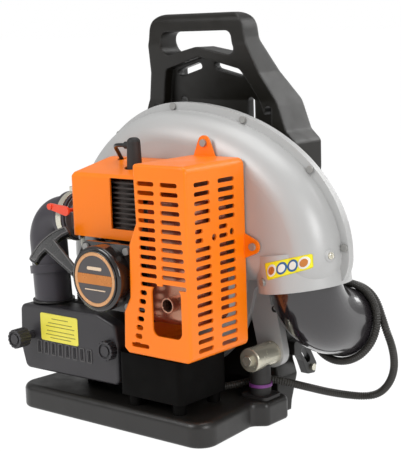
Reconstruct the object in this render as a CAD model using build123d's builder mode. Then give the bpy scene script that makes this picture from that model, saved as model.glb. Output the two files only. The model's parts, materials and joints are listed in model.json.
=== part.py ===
"""Backpack leaf blower: petrol engine, scroll fan housing, outlet elbow and carrying frame.

Millimetres, +Z up, +Y towards the wearer's back, +X towards the air outlet.
The origin is the middle of the base's underside.
"""
import os
from math import asin, cos, degrees, hypot, radians, sin, tan

from build123d import *

# ---------------------------------------------------------------- fits
RUN = 0.05            # radial running clearance of a shaft in its bore
SLIP = 0.3            # gap between pieces that are fitted by hand
HOUSING_GAP = 3.0     # free space between the scroll housing and the frame

# ---------------------------------------------------------------- base
BASE_HALF_W = 160.0
BASE_WAIST_HALF_W = 151.0
LOBE_HALF_W = 167.0
BASE_FRONT_Y = -98.0
BASE_REAR_Y = 62.0
LOBE_FRONT_Y = 10.0
BASE_H = 31.0
BASE_EDGE_R = 8.0

# ---------------------------------------------------------------- carrying frame
FRAME_HALF_W = 136.5
HEEL_HALF_W = 148.0
FRAME_H = 502.0
HANDLE_HALF_W = 80.0
HANDLE_BAR = 23.0
RAIL_W = 25.0
PANEL_INSET = 15.0
PANEL_T = 12.0
SLOT_W = 9.0
PAD_T = 26.0
PAD_HALF_W = 100.0
PAD_OUTLINE = [(84.0, 350.0), (PAD_HALF_W, 318.0), (PAD_HALF_W, 120.0)]

# ---------------------------------------------------------------- crank axis and scroll housing
CRANK_X = 13.7
CRANK_Z = 191.3
PARTING_Y = 56.0
FRONT_DEPTH = 53.0
REAR_DEPTH = 46.0
SCROLL_R_RIGHT = 249.0
SCROLL_R_TOP = 199.5
SCROLL_R_LEFT = 185.0
SCROLL_R_BOTTOM = 145.0
SCROLL_R_TONGUE = 112.0
SCROLL_RISE = 21.7    # the right-hand quarter starts this far above the crank axis
SCROLL_FLOOR_Z = 176.0
SCROLL_EDGE_R = 36.0
FLANGE_W = 10.0
FLANGE_T = 10.0
SHELL_T = 3.0
HUB_HOLE_R = 51.0
INLET_R = 72.0

# ---------------------------------------------------------------- outlet
COLLAR_X = 193.7
COLLAR_Z = 194.0
COLLAR_TILT = 9.0     # degrees outward from straight down
COLLAR_R = 57.0
COLLAR_T = 3.5
COLLAR_BELOW = 22.0
COLLAR_ABOVE = 24.0
ELBOW_R = 44.0
ELBOW_T = 3.0
ELBOW_BEND_R = 59.0
ELBOW_CORNER_DROP = 56.4
ELBOW_RUN = 93.0
MOUTH_DIP = 19.0      # degrees below level
SPIGOT_LENGTH = 2.0

# ---------------------------------------------------------------- engine
ENGINE_Y = -40.0
BORE_R = 24.0
CRANK_THROW = 17.5
ROD_LENGTH = 60.0
SHAFT_R = 7.5
WEB_R = 28.0
WEB_T = 6.5
WEB_GAP = 14.0
CASE_R = 39.0
CASE_HALF_T = 28.0
CASE_BORE_R = 30.0
PILLAR_X = 48.0
LINER_T = 3.5
BEARING_R = 17.5
BEARING_T = 11.0
DECK_Z = 229.0
HEAD_Z = 304.0
FIN_PITCH = 6.2
FIN_T = 2.0
FIN_HALF_X = 40.0
FIN_HALF_Y = 31.0
FLYWHEEL_R = 46.0
IMPELLER_R = 90.0
IMPELLER_FRONT_Y = 24.0
IMPELLER_W = 60.0
BLADE_COUNT = 14
BLADE_ROOT_R = 44.0
BLADE_SWEEP = 18.0
BLADE_T = 2.5

# ---------------------------------------------------------------- recoil starter
STARTER_FRONT_Y = -116.5
STARTER_FLANGE_Y = -95.5
STARTER_R = 40.0
STARTER_SQUARE = 41.0
STARTER_WALL = 3.0
STARTER_BOLT = 33.5
LABEL_R = 33.4
PULLEY_R = 27.0
PULLEY_Y = -109.5
PULLEY_T = 9.0
ROPE_R = 2.0
ROPE_LINE_R = 24.7    # the rope leaves its pulley at this radius
ROPE_RISE = 35.0      # degrees above level, towards -X
GRIP_LENGTH = 62.0
GRIP_TURN = 41.0

# ---------------------------------------------------------------- exhaust side covers
GUARD_FRONT_Y = -105.0
GUARD_BACK_Y = 1.0
GUARD_RIGHT_X = 150.0
GUARD_TOP_Z = 331.0
GUARD_BOTTOM_Z = 104.0
GUARD_T = 2.5
GUARD_EDGE_R = 9.0
VENT_PITCH = 10.7
VENT_H = 5.2
VENT_TOP_Z = 309.0

# ---------------------------------------------------------------- intake side
INTAKE_Z = 250.0
DUCT_X = -131.0
DUCT_Y = -50.0
DUCT_R = 24.5
DUCT_T = 2.5
DUCT_MOUTH_R = 31.0
CLAMP_W = 9.0
CLAMP_T = 1.2

# ---------------------------------------------------------------- air filter
FILTER_FRONT_Y = -82.0
FILTER_SPLIT_Y = -66.0
FILTER_BACK_Y = -47.0
FILTER_T = 2.5
KNOB_R = 12.5
KNOB_Z = 95.0
KNOB_LEFT_X = -141.0
KNOB_RIGHT_X = -1.0

# ---------------------------------------------------------------- fuel tank
TANK_LEFT_X = -92.0
TANK_RIGHT_X = 120.0
TANK_FRONT_Y = -44.0
TANK_BACK_Y = -3.0
TANK_BOTTOM_Z = 45.0
TANK_TOP_Z = 126.0
TANK_T = 3.0

# ---------------------------------------------------------------- engine mounts
MOUNT_X = 142.8
MOUNT_Z = 80.9
SLEEVE_R = 15.2
SLEEVE_FRONT_Y = 12.0
SLEEVE_BACK_Y = 57.0
POST_Y = 33.6
POST_R = 13.0
LEG_T = 12.0

# ---------------------------------------------------------------- screws
SCREW_R = 2.5
SCREW_HEAD_R = 4.5
SCREW_HEAD_H = 3.0

# ---------------------------------------------------------------- control cable
CONDUIT_R = 5.0


def front(y):
    """Plane across Y at y, facing the engine side: local x is X and local y is Z."""
    return Plane(origin=(0, y, 0), x_dir=(1, 0, 0), z_dir=(0, -1, 0))


def crank(y):
    """The same plane, centred on the crank axis."""
    return Plane(origin=(CRANK_X, y, CRANK_Z), x_dir=(1, 0, 0), z_dir=(0, -1, 0))


def side(x):
    """Plane across X at x: local x is Y and local y is Z."""
    return Plane(origin=(x, 0, 0), x_dir=(0, 1, 0), z_dir=(1, 0, 0))


def mirrored(points):
    """Close a right-hand half outline with its mirror image about X = 0."""
    return points + [(-x, z) for x, z in reversed(points) if x > 0]


# ================================================================ base
HEEL_BOLTS = [(x, 15.0) for x in (-110.0, -40.0, 40.0, 110.0)]
HEEL_BOLT_R = 3.0
HEEL_HEAD_R = 6.5
HEEL_SEAT_Y = 86.0
HEEL_BOLT_REACH = 24.0

with BuildPart() as base_plate:
    half = [
        (BASE_HALF_W, BASE_FRONT_Y),
        (BASE_WAIST_HALF_W, LOBE_FRONT_Y - 6),
        (LOBE_HALF_W, LOBE_FRONT_Y + 6),
        (LOBE_HALF_W, BASE_REAR_Y),
    ]
    with BuildSketch():
        with BuildLine():
            Polyline(*mirrored(half), close=True)
        make_face()
        fillet(vertices().group_by(Axis.Y)[0], 24)
        fillet(vertices().group_by(Axis.Y)[2:], 9)
    extrude(amount=BASE_H)
    fillet(faces().sort_by(Axis.Z)[-1].edges(), BASE_EDGE_R)
    fillet(faces().sort_by(Axis.Z)[0].edges(), BASE_EDGE_R / 2)
    with BuildSketch(front(BASE_REAR_Y)):
        with Locations(*HEEL_BOLTS):
            Circle(HEEL_BOLT_R)
    extrude(amount=HEEL_BOLT_REACH, mode=Mode.SUBTRACT)


# ================================================================ scroll housing


def scroll_face(inset):
    """The scroll's outline about the crank axis, moved inward by inset, as a sketch."""
    floor = SCROLL_FLOOR_Z - CRANK_Z + inset - FLANGE_W
    right = SCROLL_R_RIGHT - inset
    top = SCROLL_R_TOP - inset
    left = SCROLL_R_LEFT - inset
    bottom = SCROLL_R_BOTTOM - inset
    tongue = SCROLL_R_TONGUE - inset
    heel = SCROLL_RISE - floor
    floor_angle = degrees(asin(floor / bottom))
    with BuildSketch() as outline:
        with BuildLine():
            EllipticalCenterArc((0, SCROLL_RISE), right, top - SCROLL_RISE, 0, arc_size=90)
            EllipticalCenterArc((0, 0), left, top, 90, arc_size=90)
            EllipticalCenterArc((0, 0), left, bottom, 180, arc_size=90)
            EllipticalCenterArc((0, 0), tongue, bottom, 270, arc_size=90 + floor_angle)
            Line((tongue * cos(radians(floor_angle)), floor), (right - heel, floor))
            CenterArc((right - heel, SCROLL_RISE), heel, 270, 90)
        make_face()
        throat = vertices().sort_by(lambda v: hypot(v.X - tongue, v.Y - floor))[0]
        fillet(throat, 12)
    return outline.sketch


def rim_point(angle, inset):
    """Point at a parametric angle on the scroll's outline moved inward by inset."""
    reach = SCROLL_R_RIGHT if cos(radians(angle)) > 0 else SCROLL_R_LEFT
    height = SCROLL_R_TOP
    rise = 0.0
    if sin(radians(angle)) < 0:
        height = SCROLL_R_BOTTOM
        reach = SCROLL_R_TONGUE if cos(radians(angle)) > 0 else SCROLL_R_LEFT
    elif cos(radians(angle)) > 0:
        height = SCROLL_R_TOP - SCROLL_RISE
        rise = SCROLL_RISE
    return ((reach - inset) * cos(radians(angle)), rise + (height - inset) * sin(radians(angle)))


def half_scroll(inset, depth, edge_r):
    """One rounded half of the scroll, from the parting plane towards -Y for a positive depth."""
    with BuildPart() as half_body:
        with BuildSketch(crank(PARTING_Y)):
            add(scroll_face(inset))
        extrude(amount=depth)
        outer_face = faces().sort_by(Axis.Y)[0 if depth > 0 else -1]
        fillet(outer_face.edges(), edge_r)
    return half_body.part


def collar_plane(lift):
    """Plane across the outlet collar, lifted along the collar's tilted axis."""
    tilt = radians(COLLAR_TILT)
    up = Vector(-sin(tilt), 0, cos(tilt))
    centre = Vector(COLLAR_X, PARTING_Y, COLLAR_Z) + up * lift
    return Plane(origin=centre, x_dir=(cos(tilt), 0, sin(tilt)), z_dir=up)


COLLAR_SCREWS = (-112, 50, 130)
COLLAR_SCREW_LIFT = -7.0


def collar_screw_plane(angle, reach):
    """Plane facing out of the collar's wall, this far from the collar's axis."""
    base = collar_plane(COLLAR_SCREW_LIFT)
    outward = base.x_dir * cos(radians(angle)) + base.y_dir * sin(radians(angle))
    return Plane(origin=base.origin + outward * reach, z_dir=outward)


RIM_SCREWS = (4, 36, 66, 94, 127, 160, 193, 226, 262, 305)
GUARD_LUGS = ((162.8, 226.0), (92.4, 346.5))
DAMPER_X = 50.0
DAMPER_Z = 318.0
wall_inset = FLANGE_W + SHELL_T

with BuildPart() as scroll_housing:
    add(half_scroll(FLANGE_W, FRONT_DEPTH, SCROLL_EDGE_R))
    add(half_scroll(FLANGE_W, -REAR_DEPTH, SCROLL_EDGE_R))
    with BuildSketch(crank(PARTING_Y + FLANGE_T / 2)):
        add(scroll_face(0))
    extrude(amount=FLANGE_T)
    with BuildSketch(collar_plane(-COLLAR_BELOW)):
        Circle(COLLAR_R)
    extrude(amount=COLLAR_BELOW + COLLAR_ABOVE)
    with BuildSketch(front(SLEEVE_BACK_Y + LEG_T)):
        with Locations((MOUNT_X, MOUNT_Z)):
            Circle(19)
        Polygon((104, 165), (146, 170), (140, 150), align=None)
        make_hull()
    extrude(amount=LEG_T)
    with BuildSketch(front(SLEEVE_BACK_Y + LEG_T)):
        with Locations((-MOUNT_X, MOUNT_Z)):
            Circle(19)
        Polygon((-148, 140), (-100, 108), (-120, 120), align=None)
        make_hull()
    extrude(amount=LEG_T)
    with BuildSketch(front(PARTING_Y)):
        with Locations(*GUARD_LUGS):
            Circle(6.5)
    extrude(amount=PARTING_Y - GUARD_BACK_Y)
    add(half_scroll(wall_inset, FRONT_DEPTH - SHELL_T, SCROLL_EDGE_R - SHELL_T), mode=Mode.SUBTRACT)
    add(half_scroll(wall_inset, SHELL_T - REAR_DEPTH, SCROLL_EDGE_R - SHELL_T), mode=Mode.SUBTRACT)
    with BuildSketch(collar_plane(-COLLAR_BELOW)):
        Circle(COLLAR_R - COLLAR_T)
    extrude(amount=COLLAR_BELOW + COLLAR_ABOVE - COLLAR_T, mode=Mode.SUBTRACT)
    with BuildSketch(collar_plane(-COLLAR_BELOW)):
        Circle(COLLAR_R + SLIP)
    extrude(amount=-COLLAR_BELOW, mode=Mode.SUBTRACT)
    with BuildSketch(crank(PARTING_Y)):
        Circle(HUB_HOLE_R)
    extrude(amount=FRONT_DEPTH, mode=Mode.SUBTRACT)
    with BuildSketch(crank(PARTING_Y + REAR_DEPTH)):
        Circle(INLET_R)
    extrude(amount=REAR_DEPTH, mode=Mode.SUBTRACT)
    with BuildSketch(crank(PARTING_Y + FLANGE_T)):
        with Locations(*[rim_point(angle, FLANGE_W / 2) for angle in RIM_SCREWS]):
            Circle(SCREW_R + SLIP / 2)
    extrude(amount=2 * FLANGE_T, mode=Mode.SUBTRACT)
    with BuildSketch(front(SLEEVE_BACK_Y + LEG_T)):
        with Locations((MOUNT_X, MOUNT_Z), (-MOUNT_X, MOUNT_Z)):
            Circle(4.0 + SLIP)
    extrude(amount=LEG_T, mode=Mode.SUBTRACT)
    with BuildSketch(front(GUARD_BACK_Y + 14)):
        with Locations(*GUARD_LUGS):
            Circle(SCREW_R)
    extrude(amount=14, mode=Mode.SUBTRACT)
    for angle in COLLAR_SCREWS:
        with BuildSketch(collar_screw_plane(angle, COLLAR_R + 1)):
            Circle(SCREW_R + SLIP / 2)
        extrude(amount=-COLLAR_T - 2, mode=Mode.SUBTRACT)

with BuildPart() as volute_front:
    add(scroll_housing.part)
    split(bisect_by=front(PARTING_Y), keep=Keep.TOP)

with BuildPart() as volute_rear:
    add(scroll_housing.part)
    split(bisect_by=front(PARTING_Y), keep=Keep.BOTTOM)

# ================================================================ carrying frame
# The frame's side view: how far forward and back it reaches at each height.
SHOULDER_Z = FRAME_H - 114.0
THROAT_Z = FRAME_H - 56.0
FRAME_FRONT = [(62, 0), (62, 42), (98, 105), (127, 300), (127, SHOULDER_Z), (99, FRAME_H - 40), (99, FRAME_H)]
FRAME_REAR = [
    (90, 0),
    (92, 12),
    (120, 84),
    (152, 200),
    (184, 300),
    (184, SHOULDER_Z),
    (131, FRAME_H - 36),
    (129, FRAME_H),
]
FRAME_OUTLINE = [
    (HANDLE_HALF_W - 4, FRAME_H),
    (HANDLE_HALF_W, FRAME_H - 32),
    (91, FRAME_H - 77),
    (110, SHOULDER_Z - 6),
    (122, SHOULDER_Z - 38),
    (FRAME_HALF_W, SHOULDER_Z - 52),
    (FRAME_HALF_W, 62),
    (HEEL_HALF_W, 44),
    (HEEL_HALF_W, 0),
]
PANEL_OUTLINE = [
    (0, THROAT_Z),
    (62, THROAT_Z - 16),
    (72, THROAT_Z - 36),
    (92, SHOULDER_Z - 26),
    (FRAME_HALF_W - RAIL_W, SHOULDER_Z - 58),
    (FRAME_HALF_W - RAIL_W, 112),
]


def frame_band(front_shift, rear_line, rear_shift):
    """Side-view face between the frame's shifted front line and another shifted line."""
    near = [(y + front_shift, z) for y, z in FRAME_FRONT]
    far = [(y + rear_shift, z) for y, z in rear_line]
    return near + far[::-1]


def panel_slab(band):
    """The panel's outline, as deep as a side-view band."""
    with BuildPart() as slab:
        with BuildSketch(front(250)):
            with BuildLine():
                Polyline(*mirrored(PANEL_OUTLINE), close=True)
            make_face()
            fillet(vertices(), 9)
        extrude(amount=250)
        with BuildSketch(side(-200)):
            Polygon(*band, align=None)
        extrude(amount=400, mode=Mode.INTERSECT)
    return slab.part


front_recess = panel_slab(frame_band(-40, FRAME_FRONT, PANEL_INSET))
rear_recess = panel_slab(frame_band(PANEL_INSET + PANEL_T, FRAME_REAR, 40))

with BuildPart() as back_frame:
    with BuildSketch(front(250)):
        with BuildLine():
            Polyline(*mirrored(FRAME_OUTLINE), close=True)
        make_face()
        fillet(vertices().group_by(Axis.Y)[-1], 24)
        fillet(vertices().filter_by(lambda v: 40 < v.Y < FRAME_H - 27), 8)
    extrude(amount=250)
    with BuildSketch(side(-200)):
        Polygon(*frame_band(0, FRAME_REAR, 0), align=None)
        fillet(vertices().filter_by(lambda v: v.Y > 50), 12)
    extrude(amount=400, mode=Mode.INTERSECT)
    with BuildSketch(front(250)):
        with BuildLine():
            grip_floor = [(0, THROAT_Z + 13), (HANDLE_HALF_W - HANDLE_BAR + 6, THROAT_Z)]
            grip_top = (HANDLE_HALF_W - HANDLE_BAR + 1, FRAME_H - HANDLE_BAR)
            Polyline(*mirrored([grip_top, grip_floor[1], grip_floor[0]]), close=True)
        make_face()
        fillet(vertices(), 10)
    extrude(amount=250, mode=Mode.SUBTRACT)
    add(front_recess, mode=Mode.SUBTRACT)
    add(rear_recess, mode=Mode.SUBTRACT)
    scroll_pocket = half_scroll(FLANGE_W - HOUSING_GAP, -REAR_DEPTH - HOUSING_GAP, SCROLL_EDGE_R)
    add(scroll_pocket, mode=Mode.SUBTRACT)
    with BuildSketch(front(250)):
        for hand in (-1, 1):
            with Locations(Location((hand * 33, THROAT_Z - 17, 0), (0, 0, -15 * hand))):
                SlotOverall(46, SLOT_W)
            with Locations((hand * 94, SHOULDER_Z - 36)):
                SlotOverall(60, SLOT_W + 2, rotation=90)
            with Locations((hand * 57, SHOULDER_Z - 22)):
                SlotOverall(52, SLOT_W + 2, rotation=90)
    extrude(amount=250, mode=Mode.SUBTRACT)
    with BuildSketch(front(HEEL_SEAT_Y)):
        with Locations(*HEEL_BOLTS):
            Circle(HEEL_BOLT_R + SLIP)
    extrude(amount=HEEL_SEAT_Y - BASE_REAR_Y, mode=Mode.SUBTRACT)
    with BuildSketch(front(HEEL_SEAT_Y)):
        with Locations(*HEEL_BOLTS):
            Circle(HEEL_HEAD_R + 2)
    extrude(amount=-40, mode=Mode.SUBTRACT)

with BuildPart() as back_pad:
    pad_front = [(y + PANEL_INSET + PANEL_T, z) for y, z in FRAME_FRONT if 100 < z <= SHOULDER_Z]
    pad_rear = [(y + PAD_T, z) for y, z in pad_front]
    with BuildSketch(side(-PAD_HALF_W)):
        Polygon(*(pad_front + pad_rear[::-1]), align=None)
    extrude(amount=2 * PAD_HALF_W)
    with BuildSketch(front(250)):
        Polygon(*mirrored(PAD_OUTLINE), align=None)
        fillet(vertices(), 18)
    extrude(amount=250, mode=Mode.INTERSECT)

ANCHOR_T = 10.0
ANCHOR_BOLT = (141.0, 43.0)
ANCHOR_SLOT = (127.0, 62.0)
ANCHOR_OUTLINE = [
    (102, 66),
    (102, 84),
    (120, 86),
    (140, 64),
    (151, 46),
    (147, 34),
    (130, 36),
    (120, 56),
    (113, 66),
]
with BuildPart() as strap_anchors:
    for hand in (-1, 1):
        with BuildSketch(side(hand * FRAME_HALF_W)):
            Polygon(*ANCHOR_OUTLINE, align=None)
            fillet(vertices(), 3)
            with Locations(ANCHOR_SLOT):
                SlotOverall(26, 9, rotation=128, mode=Mode.SUBTRACT)
            with Locations(ANCHOR_BOLT):
                Circle(SCREW_R + SLIP / 2, mode=Mode.SUBTRACT)
        extrude(amount=hand * ANCHOR_T)

# ================================================================ fan
with BuildPart() as inlet_grille:
    grille_back = PARTING_Y + REAR_DEPTH + 3
    with BuildSketch(crank(grille_back)):
        for ring_r in (INLET_R + 5, 52, 32):
            Circle(ring_r)
            Circle(ring_r - 5, mode=Mode.SUBTRACT)
        Circle(12)
        with PolarLocations(0, 8):
            with Locations((INLET_R / 2 + 2, 0)):
                Rectangle(INLET_R, 3)
    extrude(amount=3)

with BuildPart() as impeller_blade:
    with BuildSketch(crank(IMPELLER_FRONT_Y + IMPELLER_W - 3)):
        with BuildLine():
            tip_x = IMPELLER_R * cos(radians(BLADE_SWEEP)) - BLADE_T
            tip_y = -IMPELLER_R * sin(radians(BLADE_SWEEP))
            bend_x = (BLADE_ROOT_R + tip_x) / 2
            ThreePointArc((BLADE_ROOT_R, 0), (bend_x, tip_y / 3), (tip_x, tip_y))
            ThreePointArc((BLADE_ROOT_R, BLADE_T), (bend_x, tip_y / 3 + BLADE_T), (tip_x, tip_y + BLADE_T))
            Line((BLADE_ROOT_R, 0), (BLADE_ROOT_R, BLADE_T))
            Line((tip_x, tip_y), (tip_x, tip_y + BLADE_T))
        make_face()
    extrude(amount=IMPELLER_W - 5)

with BuildPart() as impeller:
    with BuildSketch(crank(IMPELLER_FRONT_Y + 3)):
        Circle(IMPELLER_R)
    extrude(amount=3)
    with BuildSketch(crank(IMPELLER_FRONT_Y + 14)):
        Circle(20)
    extrude(amount=26)
    crank_axis = Axis((CRANK_X, 0, CRANK_Z), (0, 1, 0))
    for blade in range(BLADE_COUNT):
        add(impeller_blade.part.rotate(crank_axis, 360 * blade / BLADE_COUNT))
    with BuildSketch(crank(IMPELLER_FRONT_Y + IMPELLER_W)):
        Circle(IMPELLER_R)
        Circle(INLET_R - 12, mode=Mode.SUBTRACT)
    extrude(amount=3)
    with BuildSketch(crank(IMPELLER_FRONT_Y + 20)):
        Circle(SHAFT_R + RUN)
    extrude(amount=40, mode=Mode.SUBTRACT)

hub_back = IMPELLER_FRONT_Y + 14
with BuildPart() as impeller_nut:
    with BuildSketch(crank(hub_back + 8)):
        RegularPolygon(11, 6)
        Circle(SHAFT_R - 1.5 + RUN, mode=Mode.SUBTRACT)
    extrude(amount=8)

hub_front = IMPELLER_FRONT_Y - 12
with BuildPart() as flywheel:
    with BuildSketch(crank(1)):
        Circle(FLYWHEEL_R)
        Circle(SHAFT_R + RUN, mode=Mode.SUBTRACT)
    extrude(amount=10)
    with BuildSketch(crank(hub_front)):
        Circle(16)
        Circle(SHAFT_R + RUN, mode=Mode.SUBTRACT)
    extrude(amount=hub_front - 1)
    with BuildSketch(crank(-9)):
        Circle(13)
        Circle(SHAFT_R + RUN, mode=Mode.SUBTRACT)
    extrude(amount=2.6)

with BuildPart() as outlet_elbow:
    dip = radians(MOUTH_DIP)
    corner = collar_plane(-ELBOW_CORNER_DROP).origin
    mouth_dir = Vector(0, cos(dip), -sin(dip))
    mouth = corner + mouth_dir * ELBOW_RUN
    with BuildLine():
        elbow_path = FilletPolyline(collar_plane(-2).origin, corner, mouth, radius=ELBOW_BEND_R)
    with BuildSketch(collar_plane(-2)):
        Circle(ELBOW_R)
        Circle(ELBOW_R - ELBOW_T, mode=Mode.SUBTRACT)
    sweep(path=elbow_path)
    with BuildSketch(collar_plane(-12)):
        Circle(COLLAR_R - COLLAR_T - SLIP)
        Circle(ELBOW_R - ELBOW_T / 2, mode=Mode.SUBTRACT)
    extrude(amount=10)
    for angle in COLLAR_SCREWS:
        with BuildSketch(collar_screw_plane(angle, COLLAR_R)):
            Circle(SCREW_R)
        extrude(amount=-10, mode=Mode.SUBTRACT)

# ================================================================ engine
web_outer = WEB_GAP / 2 + WEB_T
bearing_inner = web_outer + 0.5
bearing_outer = bearing_inner + BEARING_T
BOLT_SQUARE = [(x, z) for x in (-STARTER_BOLT, STARTER_BOLT) for z in (-STARTER_BOLT, STARTER_BOLT)]
PILLARS = [(x, z) for x in (-PILLAR_X, PILLAR_X) for z in (-STARTER_BOLT, STARTER_BOLT)]
deck = DECK_Z - CRANK_Z


def case_face(ears):
    """Outline of a crankcase half with an ear at each point and a flat deck under the cylinder."""
    with BuildSketch() as outline:
        Circle(CASE_R)
        with Locations(*ears):
            Circle(7.5)
        make_hull()
        Polygon((-29, deck), (29, deck), (29, 60), (-29, 60), align=None, mode=Mode.SUBTRACT)
    return outline.sketch


case_front_y = ENGINE_Y - CASE_HALF_T
case_back_y = ENGINE_Y + CASE_HALF_T
wall_y = PARTING_Y - FRONT_DEPTH

with BuildPart() as case_void:
    with BuildSketch(crank(ENGINE_Y + web_outer + 0.5)):
        Circle(CASE_BORE_R)
    extrude(amount=2 * web_outer + 1)
    with BuildSketch(crank(ENGINE_Y + bearing_outer)):
        Circle(BEARING_R)
    extrude(amount=2 * bearing_outer)
    with BuildSketch(crank(ENGINE_Y + CASE_HALF_T)):
        Circle(SHAFT_R + 1)
    extrude(amount=2 * CASE_HALF_T)
    with BuildSketch(Plane(origin=(CRANK_X, ENGINE_Y, CRANK_Z + 20))):
        Circle(BORE_R + LINER_T + RUN)
    extrude(amount=60)

with BuildPart() as crankcase_front:
    with BuildSketch(crank(ENGINE_Y)):
        add(case_face(BOLT_SQUARE))
    extrude(amount=CASE_HALF_T)
    add(case_void.part, mode=Mode.SUBTRACT)
    with BuildSketch(crank(case_front_y + 12)):
        with Locations(*BOLT_SQUARE):
            Circle(SCREW_R)
    extrude(amount=12, mode=Mode.SUBTRACT)

with BuildPart() as crankcase_rear:
    with BuildSketch(crank(case_back_y)):
        add(case_face(PILLARS))
    extrude(amount=CASE_HALF_T)
    with BuildSketch(crank(wall_y)):
        with Locations(*PILLARS):
            Circle(6)
    extrude(amount=wall_y - case_back_y)
    add(case_void.part, mode=Mode.SUBTRACT)

with BuildPart() as main_bearings:
    for face_y in (ENGINE_Y - bearing_inner, ENGINE_Y + bearing_outer):
        with BuildSketch(crank(face_y)):
            Circle(BEARING_R)
            Circle(SHAFT_R + RUN, mode=Mode.SUBTRACT)
        extrude(amount=BEARING_T)

cup_front_y = PULLEY_Y + PULLEY_T + 4
with BuildPart() as crankshaft:
    with BuildSketch(crank(ENGINE_Y - WEB_GAP / 2)):
        Circle(WEB_R)
    extrude(amount=WEB_T)
    with BuildSketch(crank(ENGINE_Y - web_outer)):
        Circle(SHAFT_R)
    extrude(amount=ENGINE_Y - web_outer - cup_front_y - 2)
    with BuildSketch(crank(ENGINE_Y + web_outer)):
        Circle(WEB_R)
    extrude(amount=WEB_T)
    with BuildSketch(crank(hub_back)):
        Circle(SHAFT_R)
    extrude(amount=hub_back - ENGINE_Y - web_outer)
    with BuildSketch(crank(hub_back + 12)):
        Circle(SHAFT_R - 1.5)
    extrude(amount=12)

with BuildPart() as starter_cup:
    with BuildSketch(crank(cup_front_y + 14)):
        Circle(20)
        Circle(SHAFT_R + RUN, mode=Mode.SUBTRACT)
    extrude(amount=14)
    with BuildSketch(crank(cup_front_y + 9)):
        Circle(17)
        Circle(SHAFT_R + 4, mode=Mode.SUBTRACT)
    extrude(amount=9, mode=Mode.SUBTRACT)

pin_z = CRANK_Z - CRANK_THROW
wrist_z = pin_z + ROD_LENGTH
BIG_END_R = 11.0
PIN_R = 6.0
WRIST_R = 5.0
CROWN = 18.0
SKIRT = 14.0
with BuildPart() as connecting_rod:
    with BuildSketch(front(ENGINE_Y + 5.5)):
        with Locations((CRANK_X, pin_z)):
            Circle(BIG_END_R)
        with Locations((CRANK_X, wrist_z)):
            Circle(WRIST_R + 3)
        with Locations((CRANK_X, (pin_z + wrist_z) / 2)):
            Rectangle(9, ROD_LENGTH)
        with Locations((CRANK_X, pin_z)):
            Circle(PIN_R + RUN, mode=Mode.SUBTRACT)
        with Locations((CRANK_X, wrist_z)):
            Circle(WRIST_R + RUN, mode=Mode.SUBTRACT)
    extrude(amount=11)

with BuildPart() as piston_pins:
    with BuildSketch(front(ENGINE_Y + WEB_GAP / 2 - SLIP)):
        with Locations((CRANK_X, pin_z)):
            Circle(PIN_R)
    extrude(amount=WEB_GAP - 2 * SLIP)
    with BuildSketch(front(ENGINE_Y + 20)):
        with Locations((CRANK_X, wrist_z)):
            Circle(WRIST_R)
    extrude(amount=40)

with BuildPart() as piston:
    with BuildSketch(Plane(origin=(CRANK_X, ENGINE_Y, wrist_z - SKIRT))):
        Circle(BORE_R - RUN)
    extrude(amount=SKIRT + CROWN)
    with BuildSketch(Plane(origin=(CRANK_X, ENGINE_Y, wrist_z - SKIRT))):
        Circle(BORE_R - 4)
    extrude(amount=SKIRT + CROWN - 5, mode=Mode.SUBTRACT)
    with BuildSketch(front(ENGINE_Y + BORE_R - 3)):
        with Locations((CRANK_X, wrist_z)):
            Circle(WRIST_R + 3)
    extrude(amount=2 * BORE_R - 6)
    with BuildSketch(front(ENGINE_Y + 6.5)):
        with Locations((CRANK_X, wrist_z)):
            Rectangle(30, 30)
    extrude(amount=13, mode=Mode.SUBTRACT)
    with BuildSketch(front(ENGINE_Y + BORE_R)):
        with Locations((CRANK_X, wrist_z)):
            Circle(WRIST_R + RUN)
    extrude(amount=2 * BORE_R, mode=Mode.SUBTRACT)

INTAKE_PORT_X = -34.0
EXHAUST_PORT_X = 58.0
EXHAUST_Z = 262.0
PLUG_R = 6.0
bore_top = wrist_z + 2 * CRANK_THROW + CROWN + 1.5
with BuildPart() as cylinder:
    with BuildSketch(Plane(origin=(CRANK_X, ENGINE_Y, DECK_Z))):
        RectangleRounded(54, 2 * CASE_HALF_T - 1, 6)
    extrude(amount=5)
    with BuildSketch(Plane(origin=(CRANK_X, ENGINE_Y, DECK_Z - 7))):
        Circle(BORE_R + LINER_T)
    extrude(amount=HEAD_Z - DECK_Z + 7)
    fin_z = DECK_Z + 10
    while fin_z < HEAD_Z:
        with BuildSketch(Plane(origin=(CRANK_X, ENGINE_Y, fin_z))):
            RectangleRounded(2 * FIN_HALF_X, 2 * FIN_HALF_Y, 9)
        extrude(amount=FIN_T)
        fin_z += FIN_PITCH
    with BuildSketch(side(INTAKE_PORT_X)):
        with Locations((ENGINE_Y, INTAKE_Z)):
            RectangleRounded(40, 30, 5)
    extrude(amount=CRANK_X - BORE_R - INTAKE_PORT_X)
    with BuildSketch(side(CRANK_X + BORE_R)):
        with Locations((ENGINE_Y, EXHAUST_Z)):
            RectangleRounded(40, 32, 5)
    extrude(amount=EXHAUST_PORT_X - CRANK_X - BORE_R)
    with BuildSketch(Plane(origin=(CRANK_X, ENGINE_Y, DECK_Z - 10))):
        Circle(BORE_R)
    extrude(amount=bore_top - DECK_Z + 10, mode=Mode.SUBTRACT)
    with BuildSketch(Plane(origin=(CRANK_X, ENGINE_Y, bore_top - 1))):
        Circle(PLUG_R + RUN)
    extrude(amount=30, mode=Mode.SUBTRACT)
    with BuildSketch(side(INTAKE_PORT_X - 1)):
        with Locations((ENGINE_Y, INTAKE_Z)):
            Circle(10)
    extrude(amount=40, mode=Mode.SUBTRACT)
    with BuildSketch(side(CRANK_X)):
        with Locations((ENGINE_Y, EXHAUST_Z)):
            Circle(11)
    extrude(amount=60, mode=Mode.SUBTRACT)

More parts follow.
